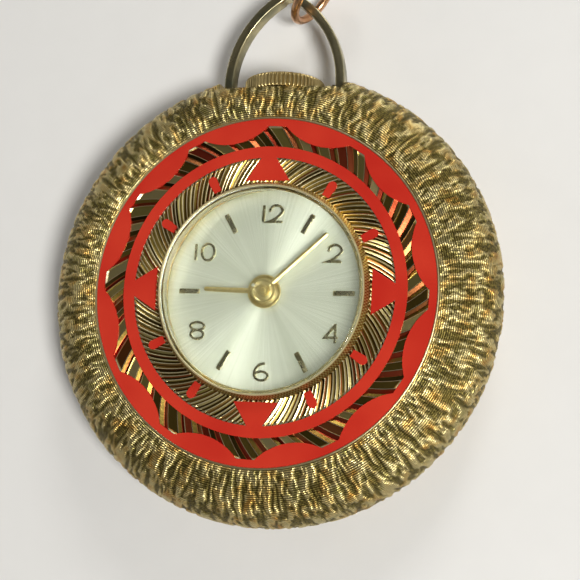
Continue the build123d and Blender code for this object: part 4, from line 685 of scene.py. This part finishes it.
def case_piece(material):
    """The domed shell with its bark relief and the notch for crown and bow."""
    dome = []
    for i in range(DOME_STEPS + 1):
        angle = DOME_SPAN * (1 - i / DOME_STEPS)
        out, up = DOME_ARC * math.cos(angle), DOME_ARC * math.sin(angle)
        dome.append((DOME_CENTRE[0] + out, DOME_CENTRE[1] + up))
    under = circle_arc((CASE_RADIUS, WIDEST_HEIGHT), (RIM_RADIUS, RIM_HEIGHT), (0, -1), UNDER_STEPS)
    outer = dome + under[1:]
    flange_low = PLATE_LOW[2] - FLANGE_THICKNESS
    flange_bore = LIP_BORE - FLANGE_OVERHANG
    inner = [
        (CASE_BORE, RIM_HEIGHT),
        (CASE_BORE, flange_low),
        (flange_bore, flange_low),
        (flange_bore, PLATE_LOW[2]),
        (SEAT_RADIUS, PLATE_LOW[2]),
    ]
    lengths = [0.0]
    for before, after in zip(outer, outer[1:]):
        lengths.append(lengths[-1] + math.dist(before, after))
    points, hollows, turned = [], [], []
    for index, (radius, height) in enumerate(outer + inner):
        barked = 0 < index < len(outer) - 1
        along, normal = 0.0, (0.0, 0.0)
        if barked:
            along = lengths[index]
            before, after = outer[index - 1], outer[index + 1]
            run = math.dist(before, after)
            normal = ((before[1] - after[1]) / run, (after[0] - before[0]) / run)
        for step in range(AROUND_CASE):
            angle = 2 * math.pi * step / AROUND_CASE
            sink = bark_sink(angle, radius, along, lengths[-1]) if barked else 0.0
            out, z = radius - normal[0] * sink, height - normal[1] * sink
            x, y = out * math.cos(angle), out * math.sin(angle)
            if abs(x) < NOTCH_HALF or (abs(x) < BOW_SEAT_HALF and z > BOW_SEAT_LOW):
                y = min(y, NOTCH_FLOOR)
            points.append((x, y, z))
            # How deep the bark lies, for the painted shade of its creases and for their roughness
            hollows.append(min(1.0, sink / RIDGE_DEPTH))
            turned.append(along / MM)
    faces = swept_loop_faces(len(outer) + len(inner), AROUND_CASE)
    piece = mesh_piece("bark_case", points, faces, material)
    add_values(piece, "hollow", hollows)
    add_values(piece, "turned", turned)
    return piece


def varied(spread, index, seed):
    """A repeatable number in a spread for each facet. The factors are unrelated, and only stir the sine."""
    low, high = spread
    stirred = math.sin(index * 12.9898 + seed * 78.233 + 3.1 * math.sin(index * 4.1 + seed))
    return low + (high - low) * (0.5 + 0.5 * stirred)


def hatch_cut(step, share):
    """Depth and tone across one hatch ridge: a dark flank, a bright crest and a lit flank.

    The ridge ends in a raised bead at the thin ring. The dark flank is painted shade,
    and the bright crest, the lit flank and the bead are painted highlight.
    """
    width = AROUND_PLATE // HATCH_RIDGES
    index, across = divmod(step, width)
    place = (across + 0.5) / width
    crest = varied(CREST_SHARES, index, 6)
    rise = place / crest if place < crest else (1 - place) / (1 - crest)
    depth = HATCH_DEPTH * varied(HATCH_DEPTH_SHARES, index, 1) * (1 - rise)
    beaded = share > BEAD_START_SHARE
    if rise > CREST_RISE or (beaded and rise > BEAD_RISE):
        return BRIGHT_SINK if beaded else depth, CREST_HIGHLIGHT
    if place < crest or rise < varied(FLANK_FOOT_SHARES, index, 10):
        return depth, varied(PAINTED_SHADE_TONES, index, 5)
    return depth, varied(LIT_TONES, index, 7)


def facet_cut(step, share):
    """Depth and tone across one diamond cut: a flat gold face with bright edges, then a dark sunk gap.

    The face takes about half of the cut, and the far flank of the gap holds a painted reflection
    of the red enamel. The bright edges are painted highlight, and the dark gap is painted shade.
    """
    width = AROUND_PLATE // FACETS
    index, across = divmod(step, width)
    face = int(width * varied(FACE_SHARES, index, 2))
    if across < face:
        if min(across, face - 1 - across) < FACET_EDGE_STEPS or share > FACET_END_SHARE:
            return BRIGHT_SINK, EDGE_HIGHLIGHT
        tilt = varied((-1.0, 1.0), index, 8) * (2 * across / face - 1)
        return FACET_SINK + FACET_TILT_SHARE * FACET_DEPTH * (1 + tilt), varied(FACE_TONES, index, 3)
    valley = (across - face) / (width - face)
    flank = 1 - abs(2 * valley - 1)
    tone = varied(ENAMEL_REFLECTION_TONES, index, 4) if valley > RED_START_SHARE else varied(PAINTED_SHADE_TONES, index, 9)
    return GAP_SINK + FACET_DEPTH * flank, tone


def lip_grain(step, radius):
    """Depth and tone of the fine grain on the slope of the lip. The sunk grain is darker with painted shade."""
    grain = LIP_GRAINS * step / AROUND_PLATE
    row = math.cos(2 * math.pi * (radius - LIP_BORE) / LIP_GRAIN_LENGTH)
    swell = 0.5 + 0.5 * row * math.sin(2 * math.pi * grain)
    sink = LIP_GRAIN_DEPTH * swell * varied(GRAIN_DEPTH_SHARES, int(grain), 11)
    return sink, BRIGHT_PLAIN - GRAIN_SHADE * swell


def ornament_rows():
    """Rows of the ornament plate from its bore out to its edge: radius, height, lean and kind of cut."""
    low, gold = PLATE_LOW[2], ENAMEL_TOP - INLAY_STAND
    rows = [
        (LIP_BORE, low, 0.0, "plain"),
        (LIP_BORE, LIP_TOP - LIP_EDGE_DROP, 0.0, "plain"),
        (LIP_BORE + LIP_EDGE, LIP_TOP, 0.0, "plain"),
        (LIP_BORE + LIP_FLAT, LIP_TOP, 0.0, "plain"),
    ]
    for i in range(LIP_STEPS + 1):
        share = i / LIP_STEPS
        height = LIP_TOP - LIP_EDGE - (LIP_TOP - ENAMEL_TOP - LIP_EDGE_DROP) * share
        rows.append((LIP_BORE + LIP_SLOPE_START + LIP_SLOPE * share, height, 0.0, "grain"))
    for i in range(HATCH_STEPS + 1):
        share = i / HATCH_STEPS
        rows.append((LIP_FOOT + (THIN_RING_INNER - LIP_FOOT) * share, gold, HATCH_LEAN * share, "hatch"))
    floor = ENAMEL_TOP - CELL_DEPTH
    rows.append((THIN_RING_INNER + CELL_SETBACK, floor, HATCH_LEAN, "plain"))
    rows.append((THIN_RING_OUTER - CELL_SETBACK, floor, 0.0, "plain"))
    reach = CUSP_RADIUS + CUSP_OVERLAP
    for i in range(FACET_STEPS + 1):
        share = i / FACET_STEPS
        radius = THIN_RING_OUTER + (reach - THIN_RING_OUTER) * share
        rows.append((radius, gold, FACET_LEAN * share, "facet"))
    border = [
        (reach + CUSP_SLOPE, floor, "plain"),
        (ENAMEL_OUTER - BORDER_SETBACK, floor, "plain"),
        (ENAMEL_OUTER + BORDER_START, gold, "bead"),
        (ENAMEL_OUTER + BORDER_EDGE, ENAMEL_TOP + BORDER_LIFT, "bead"),
        ((ENAMEL_OUTER + PLATE_RADIUS) / 2, ENAMEL_TOP + BORDER_BEAD, "bead"),
        (PLATE_RADIUS - BORDER_EDGE, ENAMEL_TOP + BORDER_LIFT, "bead"),
        (PLATE_RADIUS, ENAMEL_TOP - BORDER_EDGE, "bead"),
        (PLATE_RADIUS, low, "plain"),
    ]
    return rows + [(radius, height, FACET_LEAN, kind) for radius, height, kind in border]


def ornament_piece(material):
    """The champleve ring: grained lip, hatching, cut facets and the cells that hold the enamel."""
    rows = ornament_rows()
    points, tones = [], []
    for radius, height, lean, kind in rows:
        hatch_share = (radius - LIP_FOOT) / (THIN_RING_INNER - LIP_FOOT)
        facet_share = (radius - THIN_RING_OUTER) / (CUSP_RADIUS - THIN_RING_OUTER)
        for step in range(AROUND_PLATE):
            angle = 2 * math.pi * step / AROUND_PLATE + lean
            sink, tone = 0.0, BRIGHT_PLAIN
            if kind == "hatch":
                sink, tone = hatch_cut(step, hatch_share)
            elif kind == "facet":
                sink, tone = facet_cut(step, facet_share)
            elif kind == "grain":
                sink, tone = lip_grain(step, radius)
            elif kind == "bead":
                tone = BRIGHT_BEAD
            points.append((radius * math.cos(angle), radius * math.sin(angle), height - sink))
            tones.append(tone)
    faces = swept_loop_faces(len(rows), AROUND_PLATE)
    piece = mesh_piece("champleve_plate", points, faces, material, smooth=False)
    add_values(piece, "tone", tones)
    return piece


def triangle_inlays(material):
    """The four enamel triangles: their points run on into the thin ring, and their tops are crowned."""
    node = "enamel_hour_triangles"
    low, high = (corner[2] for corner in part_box(node))
    spots = [vertex.co for vertex in frame["nodes"][node].data.vertices]
    spots = [spot for spot in spots if spot.y > abs(spot.x)]
    base, half = min(spot.y for spot in spots), max(spot.x for spot in spots)
    tip = THIN_RING_INNER + TRIANGLE_OVERLAP
    outline = [(half, base), (TRIANGLE_TIP, tip), (-TRIANGLE_TIP, tip), (-half, base)]
    middle = (2 * base + tip) / 3
    # Share of the way in to the middle, and height
    rings = [(0.0, low), (0.0, high - TRIANGLE_BREAK), (0.03, high), (0.5, high + TRIANGLE_CROWN)]
    points, faces = [], []
    for quarter in range(4):
        turn = math.pi / 2 * quarter
        start = len(points)
        for inset, height in rings:
            for x, y in outline:
                x, y = x - x * inset, y + (middle - y) * inset
                across = x * math.cos(turn) - y * math.sin(turn)
                up = x * math.sin(turn) + y * math.cos(turn)
                points.append((across, up, height))
        for row in range(len(rings) - 1):
            for i in range(4):
                a, b = start + 4 * row + i, start + 4 * row + (i + 1) % 4
                faces.append((a, b, b + 4, a + 4))
        faces.append(tuple(start + i for i in (3, 2, 1, 0)))
        faces.append(tuple(start + 12 + i for i in range(4)))
    return mesh_piece("enamel_triangles", points, faces, material, smooth=False)


def crystal_piece(material):
    """The acrylic crystal, turned from its section: a domed skin, a rounded shoulder and a thin wall."""
    low, top = CRYSTAL_LOW[2], CRYSTAL_HIGH[2]
    shoulder = low + CRYSTAL_SIDE
    inner_radius = CRYSTAL_RADIUS - CRYSTAL_WALL
    inner_top = top - CRYSTAL_THICKNESS
    outer_arc = arc_radius(CRYSTAL_RADIUS, top - shoulder)
    inner_arc = arc_radius(inner_radius, inner_top - shoulder + CRYSTAL_THICKNESS / 2)
    edge, inner_edge = CRYSTAL_RADIUS - CRYSTAL_ROUND, inner_radius - CRYSTAL_ROUND

    def outer_height(radius):
        return top - outer_arc + math.sqrt(outer_arc**2 - radius**2)

    def inner_height(radius):
        return inner_top - inner_arc + math.sqrt(inner_arc**2 - radius**2)

    def rounded(start, height, turn):
        return (start + CRYSTAL_ROUND * math.sin(turn), height - CRYSTAL_ROUND * (1 - math.cos(turn)))

    profile = [(CRYSTAL_RADIUS, low)]
    for i in range(ROUND_STEPS + 1):
        profile.append(rounded(edge, outer_height(edge), math.pi / 2 * (1 - i / ROUND_STEPS)))
    for i in range(1, OUTER_STEPS + 1):
        radius = edge + (AXIS_GAP - edge) * i / OUTER_STEPS
        profile.append((radius, outer_height(radius)))
    for i in range(INNER_STEPS + 1):
        radius = AXIS_GAP + (inner_edge - AXIS_GAP) * i / INNER_STEPS
        profile.append((radius, inner_height(radius)))
    for i in range(1, ROUND_STEPS + 1):
        profile.append(rounded(inner_edge, inner_height(inner_edge), math.pi / 2 * i / ROUND_STEPS))
    profile.append((inner_radius, low))
    points = turned_points(profile, AROUND_CRYSTAL)
    return mesh_piece("domed_crystal", points, swept_loop_faces(len(profile), AROUND_CRYSTAL), material)


def thin_strap(shape, thinning):
    """Brings the outer and the inner face of a strap closer together, in the plane of the dial."""
    shape.normal_update()
    foot = min(vertex.co.y for vertex in shape.verts) + FOOT_BAND
    moves = []
    for vertex in shape.verts:
        upward = 0.0 if vertex.co.y < foot else vertex.normal.y
        moves.append(Vector((vertex.normal.x, upward, 0.0)).normalized() * thinning)
    for vertex, move in zip(shape.verts, moves):
        vertex.co -= move


def bevelled_copy(node, name, material, width, segments=2, thinning=0.0):
    """A copy of a plain solid with its sharp edges broken, as polishing leaves them."""
    mesh = frame["nodes"][node].data.copy()
    mesh.name = name
    shape = bmesh.new()
    shape.from_mesh(mesh)
    bmesh.ops.remove_doubles(shape, verts=shape.verts, dist=WELD_GAP)
    bmesh.ops.dissolve_limit(shape, angle_limit=FLAT_ANGLE, verts=shape.verts, edges=shape.edges)
    if thinning:
        thin_strap(shape, thinning)
    shape.to_mesh(mesh)
    shape.free()
    mesh.materials.clear()
    mesh.materials.append(material)
    piece = bpy.data.objects.new(name, mesh)
    bpy.context.collection.objects.link(piece)
    bevel = piece.modifiers.new("edge", "BEVEL")
    bevel.width = width
    bevel.segments = segments
    bevel.limit_method = "ANGLE"
    bevel.angle_limit = BREAK_ANGLE
    bevel.use_clamp_overlap = True
    bpy.context.view_layer.update()
    shaped = bpy.data.meshes.new_from_object(piece.evaluated_get(bpy.context.evaluated_depsgraph_get()))
    piece.modifiers.clear()
    piece.data = shaped
    shaped.shade_smooth()
    shaped.set_sharp_from_angle(angle=SHARP_ANGLE)
    return piece


def crown_rows():
    """Rows of the crown, from its foot to its face and into its hollow.

    Each has a radius, a place along the stem and the share of a flute's depth that is cut there.
    """
    low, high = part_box("crown")
    radius, start, end = high[0], low[1], high[1]
    shoulder = end - CROWN_DOME
    face_arc = arc_radius(radius, CROWN_DOME)
    foot = start + CROWN_FOOT_HEIGHT
    side = shoulder - foot - CROWN_TOP_GAP
    rows = [(radius - CROWN_FOOT, start, CROWN_FOOT_SHARE), (radius, foot, 1.0)]
    for i in range(1, CROWN_SIDE_STEPS + 1):
        rows.append((radius, foot + side * i / CROWN_SIDE_STEPS, 1.0))
    rows.append((radius - CROWN_TOP_ROUND, shoulder - CROWN_TOP_ROUND, CROWN_TOP_SHARE))
    for i in range(CROWN_FACE_STEPS):
        out = (radius - CROWN_FACE_EDGE) * (1 - i / CROWN_FACE_STEPS) + AXIS_GAP
        ring = CROWN_RING_DEPTH * math.sin(2 * math.pi * out / CROWN_RING_PITCH)
        rows.append((out, end - face_arc + math.sqrt(face_arc**2 - out**2) + ring, 0.0))
    hollow = start + CROWN_BORE_DEPTH
    inside = [
        (AXIS_GAP, hollow),
        (CROWN_BOSS_BORE, hollow),
        (CROWN_BOSS_BORE + CROWN_BORE_DRAFT, start),
        (CROWN_BOSS, start),
        (CROWN_BOSS, hollow - CROWN_SKIRT_STEP),
        (radius - CROWN_WALL, hollow - CROWN_SKIRT_STEP),
        (radius - CROWN_WALL, start),
    ]
    return rows + [(out, along, 0.0) for out, along in inside]


def crown_piece(material):
    """The crown: a domed knob with rounded flutes, a turned face and a hollow, about the stem's axis."""
    rows = crown_rows()
    around = CROWN_FLUTES * STEPS_PER_FLUTE
    points = []
    for out, along, flute in rows:
        for step in range(around):
            angle = 2 * math.pi * step / around
            wave = abs(math.sin(CROWN_FLUTES * angle / 2))
            here = out - flute * CROWN_FLUTE_DEPTH * (1 - wave)
            points.append((here * math.cos(angle), along, STEM_HEIGHT + here * math.sin(angle)))
    return mesh_piece("fluted_crown", points, swept_loop_faces(len(rows), around), material)


def wire_ring(node, name, material, wire, axis):
    """A ring of round wire, slightly worn out of true, in the place of a plain one."""
    low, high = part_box(node)
    centre = Vector([(low[i] + high[i]) / 2 for i in range(3)])
    middle = max(high[i] - low[i] for i in range(3)) / 2 - wire
    turn = Vector((0, 0, 1)).rotation_difference(axis).to_matrix()
    points = []
    for side in range(AROUND_WIRE):
        lean = 2 * math.pi * side / AROUND_WIRE
        for step in range(AROUND_RING):
            angle = 2 * math.pi * step / AROUND_RING
            place = Vector((math.cos(angle) * 2, math.sin(angle) * 2, lean))
            radius = wire * (1 + WIRE_WEAR_SHARE * noise.noise(place))
            out = middle + radius * math.cos(lean)
            spot = Vector((out * math.cos(angle), out * math.sin(angle), radius * math.sin(lean)))
            points.append(centre + turn @ spot)
    return mesh_piece(name, points, swept_loop_faces(AROUND_WIRE, AROUND_RING), material)


def hand_blade(heading, start, reach, width, low, high):
    """Points and faces of a hand's blade: a ridge along its middle, and a point at its end."""
    points, faces = [], []
    for along, share in zip((start, reach - HAND_POINT, reach), HAND_WIDTH_SHARES):
        for across, rise in HAND_SECTION_SHARES:
            side = across * width * share
            x, y = along * heading[0] - side * heading[1], along * heading[1] + side * heading[0]
            points.append((x, y, low + rise * (high - low)))
    count = len(HAND_SECTION_SHARES)
    for row in range(2):
        for i in range(count):
            a, b = row * count + i, row * count + (i + 1) % count
            faces.append((a, b, b + count, a + count))
    faces += [tuple(range(count))[::-1], tuple(range(2 * count, 3 * count))]
    return points, faces


def boss_profile(boss_radius, pin_radius, low, high):
    """Section of a hand's boss: a raised rim, a dish with turned lines, and the pin in its middle."""
    dish = high - BOSS_DISH_SHARE * (high - low)
    profile = [
        (boss_radius - BOSS_EDGE, low),
        (boss_radius, low + BOSS_EDGE),
        (boss_radius, high - BOSS_ROUND),
        (boss_radius - BOSS_ROUND, high),
        (boss_radius - BOSS_RIM, high),
        (boss_radius - BOSS_DISH, dish),
    ]
    lines = int((boss_radius - BOSS_DISH - PIN_EDGE - pin_radius) / BOSS_LINE_PITCH)
    for i in range(1, lines * 2):
        radius = boss_radius - BOSS_DISH - i * BOSS_LINE_PITCH / 2
        profile.append((radius, dish + (BOSS_LINE_DEPTH if i % 2 else 0.0)))
    return profile + [
        (pin_radius, dish),
        (pin_radius - PIN_EDGE, high),
        (PIN_STEP_SHARE * pin_radius, high + PIN_STEP),
        (PIN_COLLAR_SHARE * pin_radius, high + PIN_COLLAR),
        (PIN_AXIS_GAP, high + PIN_TIP),
        (PIN_AXIS_GAP, low),
    ]


def hand_piece(node, name, material, boss_radius, pin_radius, width):
    """A hand: a ridged blade that ends where the plain one does, and a turned boss with its pin.

    They are two shells in one mesh. The boss is the larger one, and the blade faces inwards.
    """
    low, high = (corner[2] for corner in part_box(node))
    spots = [vertex.co for vertex in frame["nodes"][node].data.vertices]
    tip = max(spots, key=lambda spot: math.hypot(spot[0], spot[1]))
    reach = math.hypot(tip[0], tip[1])
    heading = Vector((tip[0], tip[1])) / reach
    points, faces = hand_blade(heading, boss_radius - HAND_TUCK, reach, width, low, high)
    profile = boss_profile(boss_radius, pin_radius, low, high)
    count = len(points)
    points += turned_points(profile, AROUND_BOSS)
    for face in swept_loop_faces(len(profile), AROUND_BOSS):
        faces.append(tuple(count + index for index in face))
    return mesh_piece(name, points, faces, material, smooth=False)


def soft_lamp(name, place, size, power):
    """A round soft lamp that shines on the middle of the watch."""
    light = bpy.data.lights.new(name, "AREA")
    light.shape = "DISK"
    light.size = size
    light.energy = power
    lamp = bpy.data.objects.new(name, light)
    lamp.location = place
    lamp.rotation_euler = (-place).to_track_quat("-Z", "Y").to_euler()
    bpy.context.collection.objects.link(lamp)


# Finishes of the case, the plate, the enamel, the crystal, the dial, the movement ring and the back
bark_gold = rolled_gold_bark()
cut_gold = diamond_cut_gold()
red_enamel = vitreous_enamel()
acrylic = clear_acrylic()
dial_finish = silvered_sunburst()
nylon = moulded_nylon()
back_gold = brushed_gilt()

# Polished metals: bright tone, worn tone, roughness, then grain and worn patches in mm
# Gilt brass with small greyer patches, for the applied numbers and batons
grained_gilt = worn_metal("grained_gilt", "#CCC6A6", "#A39A74", 0.2, 0.12, 0.8)
# Pale gilt brass with a soft polish, for the hands
hand_gilt = worn_metal("hand_gilt", "#EADAA0", "#D4BF7E", 0.28, 0.08, 0.8)
# Rolled gold with wide patches worn to a grey tone, for the bow
worn_bow_gold = worn_metal("worn_bow_gold", "#B9AE86", "#6F705A", 0.24, 0.2, 2.4)
# Gilt brass with duller patches, for the crown
fluted_gilt = worn_metal("fluted_gilt", "#CDB67C", "#96855A", 0.28, 0.12, 1.0)
# Copper-rich gold plate on the chain
coppery_gold = worn_metal("coppery_gold", "#D0A47E", "#AC7C54", 0.22, 0.2, 2.0)
# Nickel plate with a soft grey sheen, for the plates and bridges
nickel_plate = worn_metal("nickel_plate", "#C9C8C0", "#B7B5AB", 0.28, 0.1, 4.0)
# Plain brass, cut and polished, for the wheels
wheel_brass = worn_metal("wheel_brass", "#D8B765", "#C4A052", 0.25, 0.1, 2.0)
# Hardened steel, polished, for pinions, levers and screws
polished_steel = worn_metal("polished_steel", "#BFC1C2", "#A3A6A8", 0.18, 0.1, 2.0)
# Steel blued by heat, for the springs
blued_steel = worn_metal("blued_steel", "#4A5878", "#37435E", 0.2, 0.1, 2.0)

finish_of_slot = {
    "bark_gold": bark_gold,
    "polished_gold": back_gold,
    "satin_gold": fluted_gilt,
    "red_enamel": red_enamel,
    "clear_crystal": acrylic,
    "silvered_dial": dial_finish,
    "applied_gold": grained_gilt,
    "coppery_gold": coppery_gold,
    "plated_brass": nickel_plate,
    "wheel_brass": wheel_brass,
    "bright_steel": polished_steel,
    "spring_steel": blued_steel,
    "white_plastic": nylon,
}
slot_of = {entry["node"]: entry["material_slot"] for entry in frame["record"]["subparts"]}
for node, thing in frame["nodes"].items():
    thing.data.materials.clear()
    thing.data.materials.append(finish_of_slot[slot_of[node]])

# Pieces that stand for plain solids
ring_joint = next(joint for joint in frame["joints"] if joint["name"] == "jump_ring_swing")
ring_axis, link_axis = Vector(ring_joint["axis"]), Vector((0, 0, 1))
case = case_piece(bark_gold)
plate = ornament_piece(cut_gold)
triangles = triangle_inlays(red_enamel)
crystal = crystal_piece(acrylic)
numerals = bevelled_copy("applied_numerals", "polished_numerals", grained_gilt, NUMERAL_BREAK)
batons = bevelled_copy("hour_batons", "polished_batons", grained_gilt, BATON_BREAK)
bow = bevelled_copy("bow", "worn_bow", worn_bow_gold, BOW_BREAK, 3, BOW_THINNING)
hour_hand = hand_piece("hour_hand", "ridged_hour_hand", hand_gilt, HOUR_BOSS, HOUR_PIN, HOUR_WIDTH)
minute_hand = hand_piece(
    "minute_hand", "ridged_minute_hand", hand_gilt, MINUTE_BOSS, MINUTE_PIN, MINUTE_WIDTH
)
crown = crown_piece(fluted_gilt)
jump_ring = wire_ring("jump_ring", "worn_jump_ring", coppery_gold, RING_WIRE, ring_axis)
chain_link = wire_ring("chain_link", "worn_chain_link", coppery_gold, LINK_WIRE, link_axis)
# Each with its body and the solid that it stands for
pieces = [
    (case, "watch", "case_body"),
    (plate, "watch", "ornament_plate"),
    (triangles, "watch", "enamel_hour_triangles"),
    (crystal, "watch", "crystal"),
    (numerals, "watch", "applied_numerals"),
    (batons, "watch", "hour_batons"),
    (bow, "watch", "bow"),
    (hour_hand, "hour_hand", "hour_hand"),
    (minute_hand, "minute_hand", "minute_hand"),
    (crown, "crown_stem", "crown"),
    (jump_ring, "jump_ring", "jump_ring"),
    (chain_link, "chain_link", "chain_link"),
]
for piece, body, node in pieces:
    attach(piece, body)
    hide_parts(node)

# Floor, lamps and room
bpy.ops.mesh.primitive_plane_add(size=FLOOR_SIZE, location=(0, 0, -FLOOR_GAP))
floor = bpy.context.object
floor.name = "paper_floor"
floor.data.materials.append(pale_paper())
for lamp in LAMPS:
    soft_lamp(*lamp)

world = bpy.data.worlds.new("studio")
bpy.context.scene.world = world
world.use_nodes = True
world.node_tree.nodes.clear()
sky = add(world.node_tree, "ShaderNodeTexCoord").outputs["Generated"]
parts = add(world.node_tree, "ShaderNodeSeparateXYZ", {"Vector": sky})
tone = spread_of(world.node_tree, parts.outputs["Z"], 0.0, 1.0)
room = blend_colours(world.node_tree, tone, "#D0CECA", "#3C3A38")
background = add(world.node_tree, "ShaderNodeBackground", {"Color": room, "Strength": ROOM_STRENGTH})
add(world.node_tree, "ShaderNodeOutputWorld", {"Surface": background.outputs[0]})

camera_data = bpy.data.cameras.new("camera")
camera_data.lens = CAMERA_LENS
camera_data.sensor_width = CAMERA_SENSOR
camera_data.clip_start = CAMERA_NEAR
camera = bpy.data.objects.new("camera", camera_data)
bpy.context.collection.objects.link(camera)
backward = CAMERA_RIGHT.cross(CAMERA_UP)
axes = Matrix((CAMERA_RIGHT, CAMERA_UP, backward)).transposed().to_4x4()
camera.matrix_world = Matrix.Translation(CAMERA_PLACE) @ axes
bpy.context.scene.camera = camera
bpy.context.scene.view_settings.view_transform = "Standard"

bpy.context.view_layer.update()
